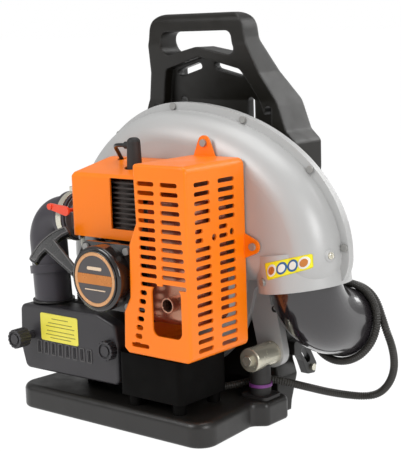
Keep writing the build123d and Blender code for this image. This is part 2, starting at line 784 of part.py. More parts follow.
head_top = fin_z - FIN_PITCH + FIN_T
plug_seat = max(head_top, HEAD_Z)
with BuildPart() as spark_plug:
    with BuildSketch(Plane(origin=(CRANK_X, ENGINE_Y, bore_top))):
        Circle(PLUG_R)
    extrude(amount=plug_seat - bore_top)
    with BuildSketch(Plane(origin=(CRANK_X, ENGINE_Y, plug_seat))):
        RegularPolygon(10, 6)
    extrude(amount=8)
    with BuildSketch(Plane(origin=(CRANK_X, ENGINE_Y, plug_seat + 8))):
        Circle(5)
    extrude(amount=24)

BOOT_TOP_Z = 354.0
BOOT_R = 9.5
BOOT_SPOUT = 14.0
LEAD_R = 2.5
LEAD_Z = BOOT_TOP_Z - 10
with BuildPart() as plug_boot:
    with BuildSketch(Plane(origin=(CRANK_X, ENGINE_Y, plug_seat + 10))):
        Circle(BOOT_R)
    extrude(amount=BOOT_TOP_Z - plug_seat - 10, taper=2)
    fillet(faces().sort_by(Axis.Z)[-1].edges(), 6)
    with BuildSketch(side(CRANK_X - BOOT_SPOUT)):
        with Locations((ENGINE_Y, LEAD_Z)):
            Circle(LEAD_R + 2)
    extrude(amount=BOOT_SPOUT)
    with BuildSketch(Plane(origin=(CRANK_X, ENGINE_Y, plug_seat + 8))):
        Circle(5 + RUN)
    extrude(amount=24 + RUN, mode=Mode.SUBTRACT)

COIL_TURN = 105.0     # where the coil stands round the flywheel
COIL_LENGTH = 26.0
COIL_WIDTH = 34.0
COIL_AIR_GAP = 1.0
COIL_LEG = 5.0
COIL_T = 11.0
with BuildPart() as ignition_coil:
    coil_middle = FLYWHEEL_R + COIL_AIR_GAP + COIL_LEG + COIL_LENGTH / 2 - 1
    coil_leg_x = FLYWHEEL_R + COIL_AIR_GAP + COIL_LEG / 2
    with BuildSketch(crank(wall_y)):
        with Locations(Location((0, 0, 0), (0, 0, 1), COIL_TURN)):
            with Locations((coil_middle, 0)):
                RectangleRounded(COIL_LENGTH, COIL_WIDTH, 4)
            with Locations((coil_leg_x, 10), (coil_leg_x, -10)):
                Rectangle(COIL_LEG, 9)
    extrude(amount=COIL_T)

# ================================================================ exhaust side
MUFFLER_LEFT_X = 76.0
MUFFLER_RIGHT_X = 143.0
MUFFLER_Y = -53.0
MUFFLER_Z = 216.0
MUFFLER_DEPTH = 70.0
MUFFLER_H = 152.0
MUFFLER_T = 1.5
MUFFLER_EDGE_R = 12.0
TAIL_X = 112.0
TAIL_Z = 168.0
TAIL_R = 9.0
TAIL_LENGTH = 12.0


def muffler_can(inset):
    """The silencer's round-edged box, moved inward by inset."""
    with BuildPart() as can:
        with BuildSketch(side(MUFFLER_LEFT_X + inset)):
            with Locations((MUFFLER_Y, MUFFLER_Z)):
                RectangleRounded(MUFFLER_DEPTH - 2 * inset, MUFFLER_H - 2 * inset, MUFFLER_EDGE_R - inset)
        extrude(amount=MUFFLER_RIGHT_X - MUFFLER_LEFT_X - 2 * inset)
        fillet(faces().sort_by(Axis.X)[-1].edges(), MUFFLER_EDGE_R - 2 - inset)
    return can.part


with BuildPart() as muffler:
    add(muffler_can(0))
    with BuildSketch(side(EXHAUST_PORT_X)):
        with Locations((ENGINE_Y, EXHAUST_Z)):
            RectangleRounded(40, 32, 5)
    extrude(amount=MUFFLER_LEFT_X - EXHAUST_PORT_X)
    tail_back_y = MUFFLER_Y - MUFFLER_DEPTH / 2 + MUFFLER_T
    with BuildSketch(front(tail_back_y)):
        with Locations((TAIL_X, TAIL_Z)):
            Circle(TAIL_R)
    extrude(amount=TAIL_LENGTH + MUFFLER_T)
    add(muffler_can(MUFFLER_T), mode=Mode.SUBTRACT)
    with BuildSketch(side(EXHAUST_PORT_X)):
        with Locations((ENGINE_Y, EXHAUST_Z)):
            Circle(11)
    extrude(amount=MUFFLER_LEFT_X - EXHAUST_PORT_X + MUFFLER_T, mode=Mode.SUBTRACT)
    with BuildSketch(front(tail_back_y)):
        with Locations((TAIL_X, TAIL_Z)):
            Circle(TAIL_R - MUFFLER_T)
    extrude(amount=TAIL_LENGTH + MUFFLER_T, mode=Mode.SUBTRACT)

GUARD_OUTLINE = [
    (GUARD_RIGHT_X, GUARD_TOP_Z),
    (69, GUARD_TOP_Z),
    (71, 262),
    (59, 236),
    (57, 172),
    (47, 154),
    (45, GUARD_BOTTOM_Z + 6),
    (52, GUARD_BOTTOM_Z),
    (GUARD_RIGHT_X, GUARD_BOTTOM_Z),
]
FRONT_ROWS = 12
SIDE_ROWS = 19
SHORT_ROWS = 7
WINDOW = (115.0, 161.0, 45.0, 60.0)     # middle x, middle z, width, height
SIDE_HOLES = ((-57.0, 245.0), (-24.0, 247.0))

with BuildPart() as muffler_guard:
    with BuildSketch(front(GUARD_BACK_Y)):
        with BuildLine():
            Polyline(*GUARD_OUTLINE, close=True)
        make_face()
        fillet(vertices().group_by(Axis.X)[-1], GUARD_EDGE_R)
        fillet(vertices().filter_by(lambda v: v.X < 140), 4)
    extrude(amount=GUARD_BACK_Y - GUARD_FRONT_Y)
    fillet(faces().sort_by(Axis.Y)[0].edges(), 3.5)
    offset(amount=-GUARD_T, openings=faces().sort_by(Axis.Y)[-1:])
    with BuildSketch(front(GUARD_BACK_Y)):
        Polygon((40, 130), (74, 130), (74, 287), (40, 287), align=None)
    extrude(amount=GUARD_BACK_Y - STARTER_FLANGE_Y - 4, mode=Mode.SUBTRACT)
    with BuildSketch(crank(STARTER_FLANGE_Y + 5)):
        RectangleRounded(2 * STARTER_SQUARE + 3, 2 * STARTER_SQUARE + 3, 8)
    extrude(amount=11, mode=Mode.SUBTRACT)
    with BuildSketch(front(GUARD_FRONT_Y + 10)):
        for row in range(FRONT_ROWS):
            vent_z = VENT_TOP_Z - row * VENT_PITCH
            with Locations((89, vent_z)):
                SlotOverall(26, VENT_H)
            with Locations((124 + row / 3, vent_z)):
                SlotOverall(26 + row, VENT_H)
        for row in range(SHORT_ROWS):
            with Locations((80 - 2 * row, VENT_TOP_Z - (FRONT_ROWS + row) * VENT_PITCH)):
                SlotOverall(11, VENT_H + 1)
        with Locations((72, GUARD_BOTTOM_Z + 12)):
            SlotOverall(28, VENT_H)
        with Locations((WINDOW[0], WINDOW[1])):
            RectangleRounded(WINDOW[2], WINDOW[3], 9)
    extrude(amount=20, mode=Mode.SUBTRACT)
    with BuildSketch(side(GUARD_RIGHT_X - 10)):
        for row in range(SIDE_ROWS):
            vent_z = VENT_TOP_Z - row * VENT_PITCH
            holes = [hole_y for hole_y, hole_z in SIDE_HOLES if abs(vent_z - hole_z) < VENT_PITCH]
            for middle, length in ((-77, 28), (-33, 30)):
                squeezed = length - 14 if holes else length
                with Locations((middle - (length - squeezed) / 2, vent_z)):
                    SlotOverall(squeezed, VENT_H)
        with Locations(*SIDE_HOLES):
            Circle(4)
    extrude(amount=20, mode=Mode.SUBTRACT)
    with BuildSketch(front(GUARD_BACK_Y)):
        for (lug_x, lug_z), (root_x, root_z) in zip(GUARD_LUGS, ((142, 226), (92.4, 326))):
            with BuildSketch(mode=Mode.PRIVATE) as lug:
                with Locations((lug_x, lug_z)):
                    Circle(9)
                with Locations((root_x, root_z)):
                    Rectangle(6 if lug_x > root_x else 34, 34 if lug_x > root_x else 6)
                make_hull()
            add(lug.sketch)
        with Locations(*GUARD_LUGS):
            Circle(SCREW_R + SLIP, mode=Mode.SUBTRACT)
    extrude(amount=GUARD_T)

LEAD_HOLE = (-32.0, -13.0)
COWL_LEFT_X = -62.0
COWL_RIGHT_X = 68.0
COWL_FRONT_Y = -77.0
COWL_BEND_Y = -10.0
COWL_BOTTOM_Z = 233.0
COWL_TOP_Z = 324.0
FIN_WINDOW = (28.0, 277.0, 44.0, 62.0)     # middle x, middle z, width, height
with BuildPart() as cylinder_cowl:
    cowl_profile = [
        (COWL_FRONT_Y, COWL_BOTTOM_Z),
        (COWL_FRONT_Y, COWL_TOP_Z - 16),
        (COWL_FRONT_Y + 5, COWL_TOP_Z - 12),
        (COWL_BEND_Y, COWL_TOP_Z),
        (wall_y, COWL_TOP_Z),
        (wall_y, COWL_BOTTOM_Z),
    ]
    cowl_void = [
        (COWL_FRONT_Y + GUARD_T, COWL_BOTTOM_Z - 1),
        (COWL_FRONT_Y + GUARD_T, COWL_TOP_Z - 17),
        (COWL_FRONT_Y + 6, COWL_TOP_Z - 12 - GUARD_T),
        (COWL_BEND_Y, COWL_TOP_Z - GUARD_T),
        (wall_y + 1, COWL_TOP_Z - GUARD_T),
        (wall_y + 1, COWL_BOTTOM_Z - 1),
    ]
    with BuildSketch(side(COWL_LEFT_X)):
        Polygon(*cowl_profile, align=None)
        fillet(vertices().filter_by(lambda v: v.X < COWL_FRONT_Y + 17 and v.Y > COWL_BOTTOM_Z + 67), 4)
    extrude(amount=COWL_RIGHT_X - COWL_LEFT_X)
    fillet(edges().filter_by(Axis.Z).sort_by(Axis.Y)[:2].sort_by(Axis.X)[0], 5)
    with BuildSketch(side(COWL_LEFT_X + GUARD_T)):
        Polygon(*cowl_void, align=None)
    extrude(amount=COWL_RIGHT_X - COWL_LEFT_X, mode=Mode.SUBTRACT)
    with BuildSketch(front(COWL_FRONT_Y + 17)):
        with Locations((FIN_WINDOW[0], FIN_WINDOW[1])):
            Rectangle(FIN_WINDOW[2], FIN_WINDOW[3])
        with Locations((COWL_RIGHT_X - 9, 280)):
            Rectangle(20, 120)
    extrude(amount=30, mode=Mode.SUBTRACT)
    with BuildSketch(Plane.XY.offset(290)):
        with Locations((CRANK_X, ENGINE_Y)):
            Circle(BOOT_R + 3)
        with Locations(LEAD_HOLE):
            Circle(LEAD_R + 3.5)
        with Locations((82, -20)):
            Rectangle(31, 160)
    extrude(amount=60, mode=Mode.SUBTRACT)
    with BuildSketch(side(-70)):
        with Locations((ENGINE_Y, INTAKE_Z)):
            RectangleRounded(44, 48, 5)
    extrude(amount=20, mode=Mode.SUBTRACT)

# ================================================================ recoil starter
rise = radians(ROPE_RISE)
rope_dir = Vector(-cos(rise), 0, sin(rise))
rope_side = Vector(-sin(rise), 0, -cos(rise))
rope_foot = Vector(CRANK_X, PULLEY_Y + PULLEY_T / 2, CRANK_Z) + rope_side * ROPE_LINE_R


def rope_plane(reach):
    """Plane across the starter rope, this far along it from where it leaves the pulley."""
    return Plane(origin=rope_foot + rope_dir * reach, x_dir=(0, 1, 0), z_dir=rope_dir)


EYE_REACH = 31.0
GRIP_REACH = 36.0
BAR_REACH = 90.0
with BuildPart() as starter_housing:
    with BuildSketch(crank(STARTER_FLANGE_Y)):
        Circle(STARTER_R)
    extrude(amount=STARTER_FLANGE_Y - STARTER_FRONT_Y)
    fillet(faces().sort_by(Axis.Y)[0].edges(), 4)
    with BuildSketch(crank(STARTER_FLANGE_Y + 4)):
        RectangleRounded(2 * STARTER_SQUARE, 2 * STARTER_SQUARE, 8)
    extrude(amount=4)
    with BuildSketch(crank(case_front_y)):
        Circle(STARTER_R)
        with Locations(*BOLT_SQUARE):
            Circle(6)
    extrude(amount=case_front_y - STARTER_FLANGE_Y - 4)
    with BuildSketch(rope_plane(EYE_REACH - 6)):
        Circle(6.5)
    extrude(amount=GRIP_REACH - EYE_REACH + 5)
    with BuildSketch(crank(case_front_y)):
        Circle(STARTER_R - STARTER_WALL)
    extrude(amount=case_front_y - STARTER_FRONT_Y - STARTER_WALL, mode=Mode.SUBTRACT)
    with BuildSketch(crank(PULLEY_Y + PULLEY_T)):
        Circle(5)
    extrude(amount=PULLEY_Y + PULLEY_T - STARTER_FRONT_Y - STARTER_WALL)
    with BuildSketch(rope_plane(EYE_REACH - 16)):
        Circle(ROPE_R + 0.6)
    extrude(amount=40, mode=Mode.SUBTRACT)
    with BuildSketch(crank(case_front_y)):
        with Locations(*BOLT_SQUARE):
            Circle(SCREW_R + SLIP / 2)
    extrude(amount=40, mode=Mode.SUBTRACT)

with BuildPart() as starter_badge:
    with BuildSketch(crank(STARTER_FRONT_Y)):
        Circle(LABEL_R)
    extrude(amount=1)

with BuildPart() as starter_pulley:
    with BuildSketch(crank(PULLEY_Y + PULLEY_T)):
        Circle(PULLEY_R)
        Circle(5 + RUN, mode=Mode.SUBTRACT)
    extrude(amount=PULLEY_T)
    with BuildSketch(crank(PULLEY_Y + PULLEY_T / 2 + ROPE_R + SLIP)):
        Circle(PULLEY_R)
        Circle(17, mode=Mode.SUBTRACT)
    extrude(amount=2 * (ROPE_R + SLIP), mode=Mode.SUBTRACT)

with BuildPart() as wound_rope:
    with BuildSketch(crank(PULLEY_Y + PULLEY_T / 2 + ROPE_R)):
        Circle(ROPE_LINE_R - ROPE_R - SLIP)
        Circle(17, mode=Mode.SUBTRACT)
    extrude(amount=2 * ROPE_R)

with BuildPart() as recoil_spring:
    with BuildSketch(crank(PULLEY_Y - SLIP)):
        for turn in range(5):
            Circle(9 + 3 * turn)
            Circle(8 + 3 * turn, mode=Mode.SUBTRACT)
        with Locations((14, 0)):
            Rectangle(18, 1)
    extrude(amount=PULLEY_Y - SLIP - STARTER_FRONT_Y - STARTER_WALL)

turn = radians(GRIP_TURN)
bar_dir = Vector(sin(rise), 0, cos(rise)) * cos(turn) + Vector(0, 1, 0) * sin(turn)
grip_plane = Plane(origin=rope_foot + rope_dir * BAR_REACH, x_dir=bar_dir, z_dir=bar_dir.cross(rope_dir))
stem_length = BAR_REACH - GRIP_REACH
half_bar = GRIP_LENGTH / 2
with BuildPart() as starter_handle:
    with BuildSketch(grip_plane):
        with BuildLine():
            ThreePointArc((-half_bar, 3), (0, 11), (half_bar, 3))
            Polyline((half_bar, 3), (half_bar - 2, -9))
            ThreePointArc((half_bar - 2, -9), (20, -5), (9, -4))
            Polyline((9, -4), (5.5, -stem_length), (-5.5, -stem_length), (-9, -4))
            ThreePointArc((-9, -4), (-20, -5), (2 - half_bar, -9))
            Polyline((2 - half_bar, -9), (-half_bar, 3))
        make_face()
        fillet(vertices().sort_by(Axis.X)[:2] + vertices().sort_by(Axis.X)[-2:], 4)
    extrude(amount=6, both=True)
    chamfer(faces().filter_by(Axis(grip_plane.origin, grip_plane.z_dir)).edges(), 1.6)

with BuildPart() as rope_end:
    with BuildSketch(rope_plane(2)):
        Circle(ROPE_R)
    extrude(amount=GRIP_REACH - 2)

# ================================================================ intake side
INSULATOR_T = 8.0
CARB_LENGTH = 40.0
carb_right = INTAKE_PORT_X - INSULATOR_T
carb_left = carb_right - CARB_LENGTH
BELL_R = DUCT_MOUTH_R - DUCT_T - RUN
with BuildPart() as insulator_block:
    with BuildSketch(side(carb_right)):
        with Locations((ENGINE_Y, INTAKE_Z)):
            RectangleRounded(42, 34, 5)
            Circle(10, mode=Mode.SUBTRACT)
    extrude(amount=INSULATOR_T)

CHOKE_X = carb_left + 9
THROTTLE_X = carb_right - 10
CHOKE_Z = INTAKE_Z + 12
LEVER_SHAFT_R = 2.5
CABLE_STOP_X = -70.0
PRIMER_X = carb_left + 16
PRIMER_Z = INTAKE_Z - 27
PRIMER_Y = ENGINE_Y - 9
PRIMER_R = 8.0
PRIMER_SEAT = 1.5
PRIMER_STROKE = 3.0
HOSE_X = PRIMER_X + 13
HOSE_R = 3.0
with BuildPart() as carburettor:
    with BuildSketch(side(carb_left)):
        with Locations((ENGINE_Y, INTAKE_Z)):
            RectangleRounded(38, 34, 6)
    extrude(amount=CARB_LENGTH)
    with BuildSketch(side(carb_left - 14)):
        with Locations((ENGINE_Y, INTAKE_Z)):
            Circle(BELL_R)
    extrude(amount=14)
    with BuildSketch(Plane.XY.offset(INTAKE_Z - 27)):
        with Locations((carb_left + 22, ENGINE_Y)):
            RectangleRounded(32, 32, 4)
    extrude(amount=10)
    with BuildSketch(side(CABLE_STOP_X)):
        Polygon((ENGINE_Y + 10, 233), (-8, 233), (-8, 206), (-22, 206), (ENGINE_Y + 10, 223), align=None)
    extrude(amount=4)
    with BuildSketch(Plane.XY.offset(INTAKE_Z - 27)):
        with Locations((HOSE_X, PRIMER_Y)):
            Circle(HOSE_R)
    extrude(amount=-5)
    with BuildSketch(Plane.XY.offset(PRIMER_Z)):
        with Locations((PRIMER_X, PRIMER_Y)):
            Circle(PRIMER_R + RUN)
    extrude(amount=PRIMER_STROKE + PRIMER_SEAT + 1, mode=Mode.SUBTRACT)
    with BuildSketch(Plane.XY.offset(INTAKE_Z + 17)):
        with Locations((THROTTLE_X, ENGINE_Y)):
            Circle(6)
    extrude(amount=4)
    with BuildSketch(front(ENGINE_Y - 18)):
        with Locations((CHOKE_X, CHOKE_Z)):
            Circle(5)
    extrude(amount=6)
    with BuildSketch(side(carb_left - 14)):
        with Locations((ENGINE_Y, INTAKE_Z)):
            Circle(11)
    extrude(amount=80, mode=Mode.SUBTRACT)
    with BuildSketch(side(carb_left - 14)):
        with Locations((ENGINE_Y, INTAKE_Z)):
            Circle(BELL_R - 3)
    extrude(amount=12, mode=Mode.SUBTRACT)
    with BuildSketch(Plane.XY.offset(INTAKE_Z + 12)):
        with Locations((THROTTLE_X, ENGINE_Y)):
            Circle(LEVER_SHAFT_R + RUN)
    extrude(amount=20, mode=Mode.SUBTRACT)
    with BuildSketch(front(ENGINE_Y - 10)):
        with Locations((CHOKE_X, CHOKE_Z)):
            Circle(LEVER_SHAFT_R + RUN)
    extrude(amount=20, mode=Mode.SUBTRACT)

CHOKE_ARM_T = 3.0
CHOKE_ARM_CLEAR = 4.0
CHOKE_ARM_Y = ENGINE_Y - DUCT_MOUTH_R - CHOKE_ARM_CLEAR - CHOKE_ARM_T
CHOKE_REACH = 27.0
CHOKE_RISE = 4.0
CHOKE_THUMB_R = 4.0
CHOKE_THUMB_T = 1.5
with BuildPart() as choke_lever:
    with BuildSketch(front(ENGINE_Y - 12)):
        with Locations((CHOKE_X, CHOKE_Z)):
            Circle(LEVER_SHAFT_R)
    extrude(amount=ENGINE_Y - 12 - CHOKE_ARM_Y)
    with BuildSketch(front(CHOKE_ARM_Y + CHOKE_ARM_T)):
        with Locations((CHOKE_X, CHOKE_Z)):
            Circle(LEVER_SHAFT_R + 3.5)
        with Locations((CHOKE_X - CHOKE_REACH, CHOKE_Z + CHOKE_RISE)):
            Circle(CHOKE_THUMB_R)
        make_hull()
    extrude(amount=CHOKE_ARM_T)
    with BuildSketch(front(CHOKE_ARM_Y)):
        with Locations((CHOKE_X - CHOKE_REACH, CHOKE_Z + CHOKE_RISE)):
            Circle(CHOKE_THUMB_R)
    extrude(amount=CHOKE_THUMB_T)

THROTTLE_REACH = 12.0
with BuildPart() as throttle_lever:
    with BuildSketch(Plane.XY.offset(INTAKE_Z + 12 + SLIP)):
        with Locations((THROTTLE_X, ENGINE_Y)):
            Circle(LEVER_SHAFT_R)
    extrude(amount=12)
    with BuildSketch(Plane.XY.offset(INTAKE_Z + 21 + RUN)):
        with Locations((THROTTLE_X, ENGINE_Y + THROTTLE_REACH / 2)):
            SlotOverall(THROTTLE_REACH + 7, 7, rotation=90)
    extrude(amount=3)

with BuildPart() as primer_bulb:
    with BuildSketch(Plane.XY.offset(PRIMER_Z + PRIMER_SEAT)):
        with Locations((PRIMER_X, PRIMER_Y)):
            Circle(PRIMER_R)
    extrude(amount=-12 - PRIMER_SEAT)
    fillet(faces().sort_by(Axis.Z)[0].edges(), PRIMER_R - 2)

duct_low = Vector(DUCT_X, DUCT_Y, 139)
duct_high = Vector(DUCT_X - 16, ENGINE_Y - 1, INTAKE_Z)
duct_mouth = Vector(carb_left - 10, ENGINE_Y, INTAKE_Z)
DUCT_BEND_R = 32.0
duct_rise = (duct_high - duct_low).normalized()


def duct_plane(z):
    """Plane across the intake duct's upright run at a height."""
    origin = duct_low + duct_rise * ((z - duct_low.Z) / duct_rise.Z)
    return Plane(origin=origin, x_dir=(0, 1, 0), z_dir=duct_rise)


with BuildPart() as intake_duct:
    with BuildLine():
        duct_path = FilletPolyline(duct_low, duct_high, duct_mouth, radius=DUCT_BEND_R)
    with BuildSketch(Plane.XY.offset(duct_low.Z)):
        with Locations((duct_low.X, duct_low.Y)):
            Circle(DUCT_R)
    sweep(path=duct_path)
    with BuildSketch(duct_plane(173)):
        Circle(DUCT_R + 3)
    extrude(amount=10)
    with BuildSketch(side(carb_left - 22)):
        with Locations((ENGINE_Y, INTAKE_Z)):
            Circle(DUCT_MOUTH_R)
    extrude(amount=20)
    with BuildSketch(Plane.XY.offset(duct_low.Z)):
        with Locations((duct_low.X, duct_low.Y)):
            Circle(DUCT_R - DUCT_T)
    sweep(path=duct_path, mode=Mode.SUBTRACT)
    with BuildSketch(side(carb_left - 19)):
        with Locations((ENGINE_Y, INTAKE_Z)):
            Circle(DUCT_MOUTH_R - DUCT_T)
    extrude(amount=20, mode=Mode.SUBTRACT)

with BuildPart() as intake_clamp:
    with BuildSketch(side(carb_left - 15)):
        with Locations((ENGINE_Y, INTAKE_Z)):
            Circle(DUCT_MOUTH_R + CLAMP_T)
            with Locations((0, DUCT_MOUTH_R + 3)):
                Rectangle(10, 8)
            Circle(DUCT_MOUTH_R, mode=Mode.SUBTRACT)
    extrude(amount=CLAMP_W)

# ================================================================ air filter
COVER_OUTLINE = [(-162, 134), (-22, 137), (8, 127), (12, 100), (12, 50), (-157, 48), (-165, 76)]
KNOB_STEM_R = 5.0
KNOBS = ((KNOB_LEFT_X, 18.0, 14.0), (KNOB_RIGHT_X, 10.0, SLIP))     # place, head length, gap behind


def cover_face(inset, rounding):
    """The filter cover's outline moved inward by inset."""
    with BuildSketch() as outline:
        with BuildLine():
            Polyline(*COVER_OUTLINE, close=True)
        make_face()
        fillet(vertices(), rounding)
        if inset > 0:
            offset(amount=-inset)
    return outline.sketch


with BuildPart() as filter_cover:
    with BuildSketch(front(FILTER_SPLIT_Y)):
        add(cover_face(0, 9))
    extrude(amount=FILTER_SPLIT_Y - FILTER_FRONT_Y)
    fillet(faces().sort_by(Axis.Y)[0].edges(), 4)
    with BuildSketch(front(FILTER_SPLIT_Y)):
        add(cover_face(FILTER_T, 9))
    extrude(amount=FILTER_SPLIT_Y - FILTER_FRONT_Y - FILTER_T, mode=Mode.SUBTRACT)
    with BuildSketch(front(FILTER_SPLIT_Y)):
        with Locations(*[(x, KNOB_Z) for x, head, gap in KNOBS]):
            Circle(KNOB_STEM_R + 4)
    extrude(amount=FILTER_SPLIT_Y - FILTER_FRONT_Y - FILTER_T)
    with BuildSketch(front(FILTER_FRONT_Y + 1)):
        for louvre in range(8):
            with Locations((-128 + 13 * louvre, 82)):
                RectangleRounded(2.6, 15, 1.2)
    extrude(amount=20, mode=Mode.SUBTRACT)
    with BuildSketch(front(FILTER_SPLIT_Y)):
        with Locations(*[(x, KNOB_Z) for x, head, gap in KNOBS]):
            Circle(KNOB_STEM_R + SLIP)
    extrude(amount=30, mode=Mode.SUBTRACT)


def wing_knob(x, head, gap):
    """A fluted knob in front of the cover on a threaded stem that reaches into the case."""
    with BuildPart() as knob:
        back = FILTER_FRONT_Y - gap
        with BuildSketch(front(back)):
            with Locations((x, KNOB_Z)):
                Circle(KNOB_R)
                with PolarLocations(KNOB_R + 0.6, 14):
                    Circle(1.5, mode=Mode.SUBTRACT)
        extrude(amount=head)
        fillet(faces().sort_by(Axis.Y)[0].outer_wire().edges(), 1)
        with BuildSketch(front(FILTER_SPLIT_Y + 8)):
            with Locations((x, KNOB_Z)):
                Circle(KNOB_STEM_R)
        extrude(amount=FILTER_SPLIT_Y + 8 - back)
        with BuildSketch(front(back - head + 2)):
            with Locations((x, KNOB_Z)):
                Circle(KNOB_R - 3)
                Circle(KNOB_R - 6, mode=Mode.SUBTRACT)
        extrude(amount=2, mode=Mode.SUBTRACT)
    return knob


knob_left = wing_knob(*KNOBS[0])
knob_right = wing_knob(*KNOBS[1])

CHAMBER_RIGHT_X = -100.0
CHAMBER_BACK_Y = -24.0
with BuildPart() as filter_case:
    with BuildSketch(front(FILTER_BACK_Y)):
        add(cover_face(0, 9))
    extrude(amount=FILTER_BACK_Y - FILTER_SPLIT_Y)
    with BuildSketch(front(CHAMBER_BACK_Y)):
        with Locations(((CHAMBER_RIGHT_X - 160) / 2, 92)):
            RectangleRounded(160 + CHAMBER_RIGHT_X, 84, 8)
    extrude(amount=CHAMBER_BACK_Y - FILTER_SPLIT_Y)
    with BuildSketch(front(FILTER_BACK_Y - FILTER_T)):
        add(cover_face(FILTER_T, 9))
    extrude(amount=FILTER_BACK_Y - FILTER_T - FILTER_SPLIT_Y, mode=Mode.SUBTRACT)
    with BuildSketch(front(CHAMBER_BACK_Y - FILTER_T)):
        with Locations(((CHAMBER_RIGHT_X - 160) / 2, 92)):
            RectangleRounded(160 + CHAMBER_RIGHT_X - 2 * FILTER_T, 84 - 2 * FILTER_T, 6)
    extrude(amount=CHAMBER_BACK_Y - FILTER_T - FILTER_SPLIT_Y, mode=Mode.SUBTRACT)
    with BuildSketch(Plane.XY.offset(130)):
        with Locations((DUCT_X, DUCT_Y)):
            Circle(DUCT_R + 3)
    extrude(amount=duct_low.Z - 130)
    with BuildSketch(front(FILTER_SPLIT_Y)):
        Polygon((-170, 120), (-90, 120), (-90, 136.5), (-170, 136.5), align=None)
    extrude(amount=20, mode=Mode.SUBTRACT)
    with BuildSketch(Plane.XY.offset(120)):
        with Locations((DUCT_X, DUCT_Y)):
            Circle(DUCT_R - DUCT_T)
    extrude(amount=20, mode=Mode.SUBTRACT)
    for knob_x, wall in ((KNOB_LEFT_X, CHAMBER_BACK_Y), (KNOB_RIGHT_X, FILTER_BACK_Y)):
        with BuildSketch(front(wall)):
            with Locations((knob_x, KNOB_Z)):
                Circle(KNOB_STEM_R + 3)
        extrude(amount=wall - FILTER_SPLIT_Y - 1)
    with BuildSketch(front(FILTER_BACK_Y - 4)):
        with Locations((KNOB_LEFT_X, KNOB_Z), (KNOB_RIGHT_X, KNOB_Z)):
            Circle(KNOB_STEM_R + RUN)
    extrude(amount=30, mode=Mode.SUBTRACT)

with BuildPart() as filter_element:
    with BuildSketch(front(FILTER_BACK_Y - FILTER_T - SLIP)):
        with Locations((-74, 92)):
            RectangleRounded(112, 70, 6)
    extrude(amount=12)

# ================================================================ fuel tank
TANK_STEP_X = 44.0
TANK_NOSE_Y = -90.0
TANK_NOSE_X = 20.0
TANK_NOSE_TOP_Z = 98.0
TANK_FEET = ((-78, -36), (36, -78), (106, -78), (106, -14))
FOOT_R = 8.0
CAP_POS = (-62.0, -24.0)
CAP_R = 17.0
NECK_R = 12.0
HOSE_GLAND = (-40.0, -33.0)
GLAND_H = 3.0


def tank_box(left, near, right, inset):
    """Corners of a block of the tank from above, moved inward by inset."""
    return [
        (left + inset, near + inset),
        (right - inset, near + inset),
        (right - inset, TANK_BACK_Y - inset),
        (left + inset, TANK_BACK_Y - inset),
    ]


with BuildPart() as fuel_tank:
    with BuildSketch(Plane.XY.offset(TANK_BOTTOM_Z)):
        Polygon(*tank_box(TANK_LEFT_X, TANK_FRONT_Y, TANK_STEP_X, 0), align=None)
        fillet(vertices(), 8)
    extrude(amount=TANK_TOP_Z - TANK_BOTTOM_Z)
    with BuildSketch(Plane.XY.offset(TANK_BOTTOM_Z)):
        Polygon(*tank_box(TANK_NOSE_X, TANK_NOSE_Y, TANK_RIGHT_X, 0), align=None)
        fillet(vertices(), 8)
    extrude(amount=TANK_NOSE_TOP_Z - TANK_BOTTOM_Z)
    with BuildSketch(Plane.XY.offset(TANK_TOP_Z)):
        with Locations(CAP_POS):
            Circle(NECK_R)
    extrude(amount=10)
    with BuildSketch(Plane.XY.offset(TANK_BOTTOM_Z + TANK_T)):
        Polygon(*tank_box(TANK_LEFT_X, TANK_FRONT_Y, TANK_STEP_X, TANK_T), align=None)
    extrude(amount=TANK_TOP_Z - TANK_BOTTOM_Z - 2 * TANK_T, mode=Mode.SUBTRACT)
    with BuildSketch(Plane.XY.offset(TANK_BOTTOM_Z + TANK_T)):
        Polygon(*tank_box(TANK_NOSE_X, TANK_NOSE_Y, TANK_RIGHT_X, TANK_T), align=None)
    extrude(amount=TANK_NOSE_TOP_Z - TANK_BOTTOM_Z - 2 * TANK_T, mode=Mode.SUBTRACT)
    with BuildSketch(Plane.XY.offset(TANK_TOP_Z)):
        with Locations(HOSE_GLAND):
            Circle(HOSE_R + 2)
    extrude(amount=GLAND_H)
    with BuildSketch(Plane.XY.offset(TANK_TOP_Z - 4)):
        with Locations(CAP_POS):
            Circle(NECK_R - 3)
    extrude(amount=20, mode=Mode.SUBTRACT)
    with BuildSketch(Plane.XY.offset(BASE_H)):
        with Locations(*TANK_FEET):
            Circle(FOOT_R)
    extrude(amount=TANK_BOTTOM_Z - BASE_H)

with BuildPart() as fuel_cap:
    with BuildSketch(Plane.XY.offset(TANK_TOP_Z + SLIP)):
        with Locations(CAP_POS):
            Circle(CAP_R)
            with PolarLocations(CAP_R + 0.8, 18):
                Circle(1.8, mode=Mode.SUBTRACT)
    extrude(amount=14)
    with BuildSketch(Plane.XY.offset(TANK_TOP_Z)):
        with Locations(CAP_POS):
            Circle(NECK_R + RUN)
    extrude(amount=10.5, mode=Mode.SUBTRACT)

# ================================================================ engine mounts
MOUNT_BOLT_R = 4.0
with BuildPart() as damper_sleeves:
    with BuildSketch(front(SLEEVE_BACK_Y)):
        with Locations((MOUNT_X, MOUNT_Z), (-MOUNT_X, MOUNT_Z)):
            Circle(SLEEVE_R)
            Circle(MOUNT_BOLT_R + RUN, mode=Mode.SUBTRACT)
    extrude(amount=SLEEVE_BACK_Y - SLEEVE_FRONT_Y)
    fillet(faces().sort_by(Axis.Y)[:2].edges().filter_by(lambda e: e.radius > 10), 2)

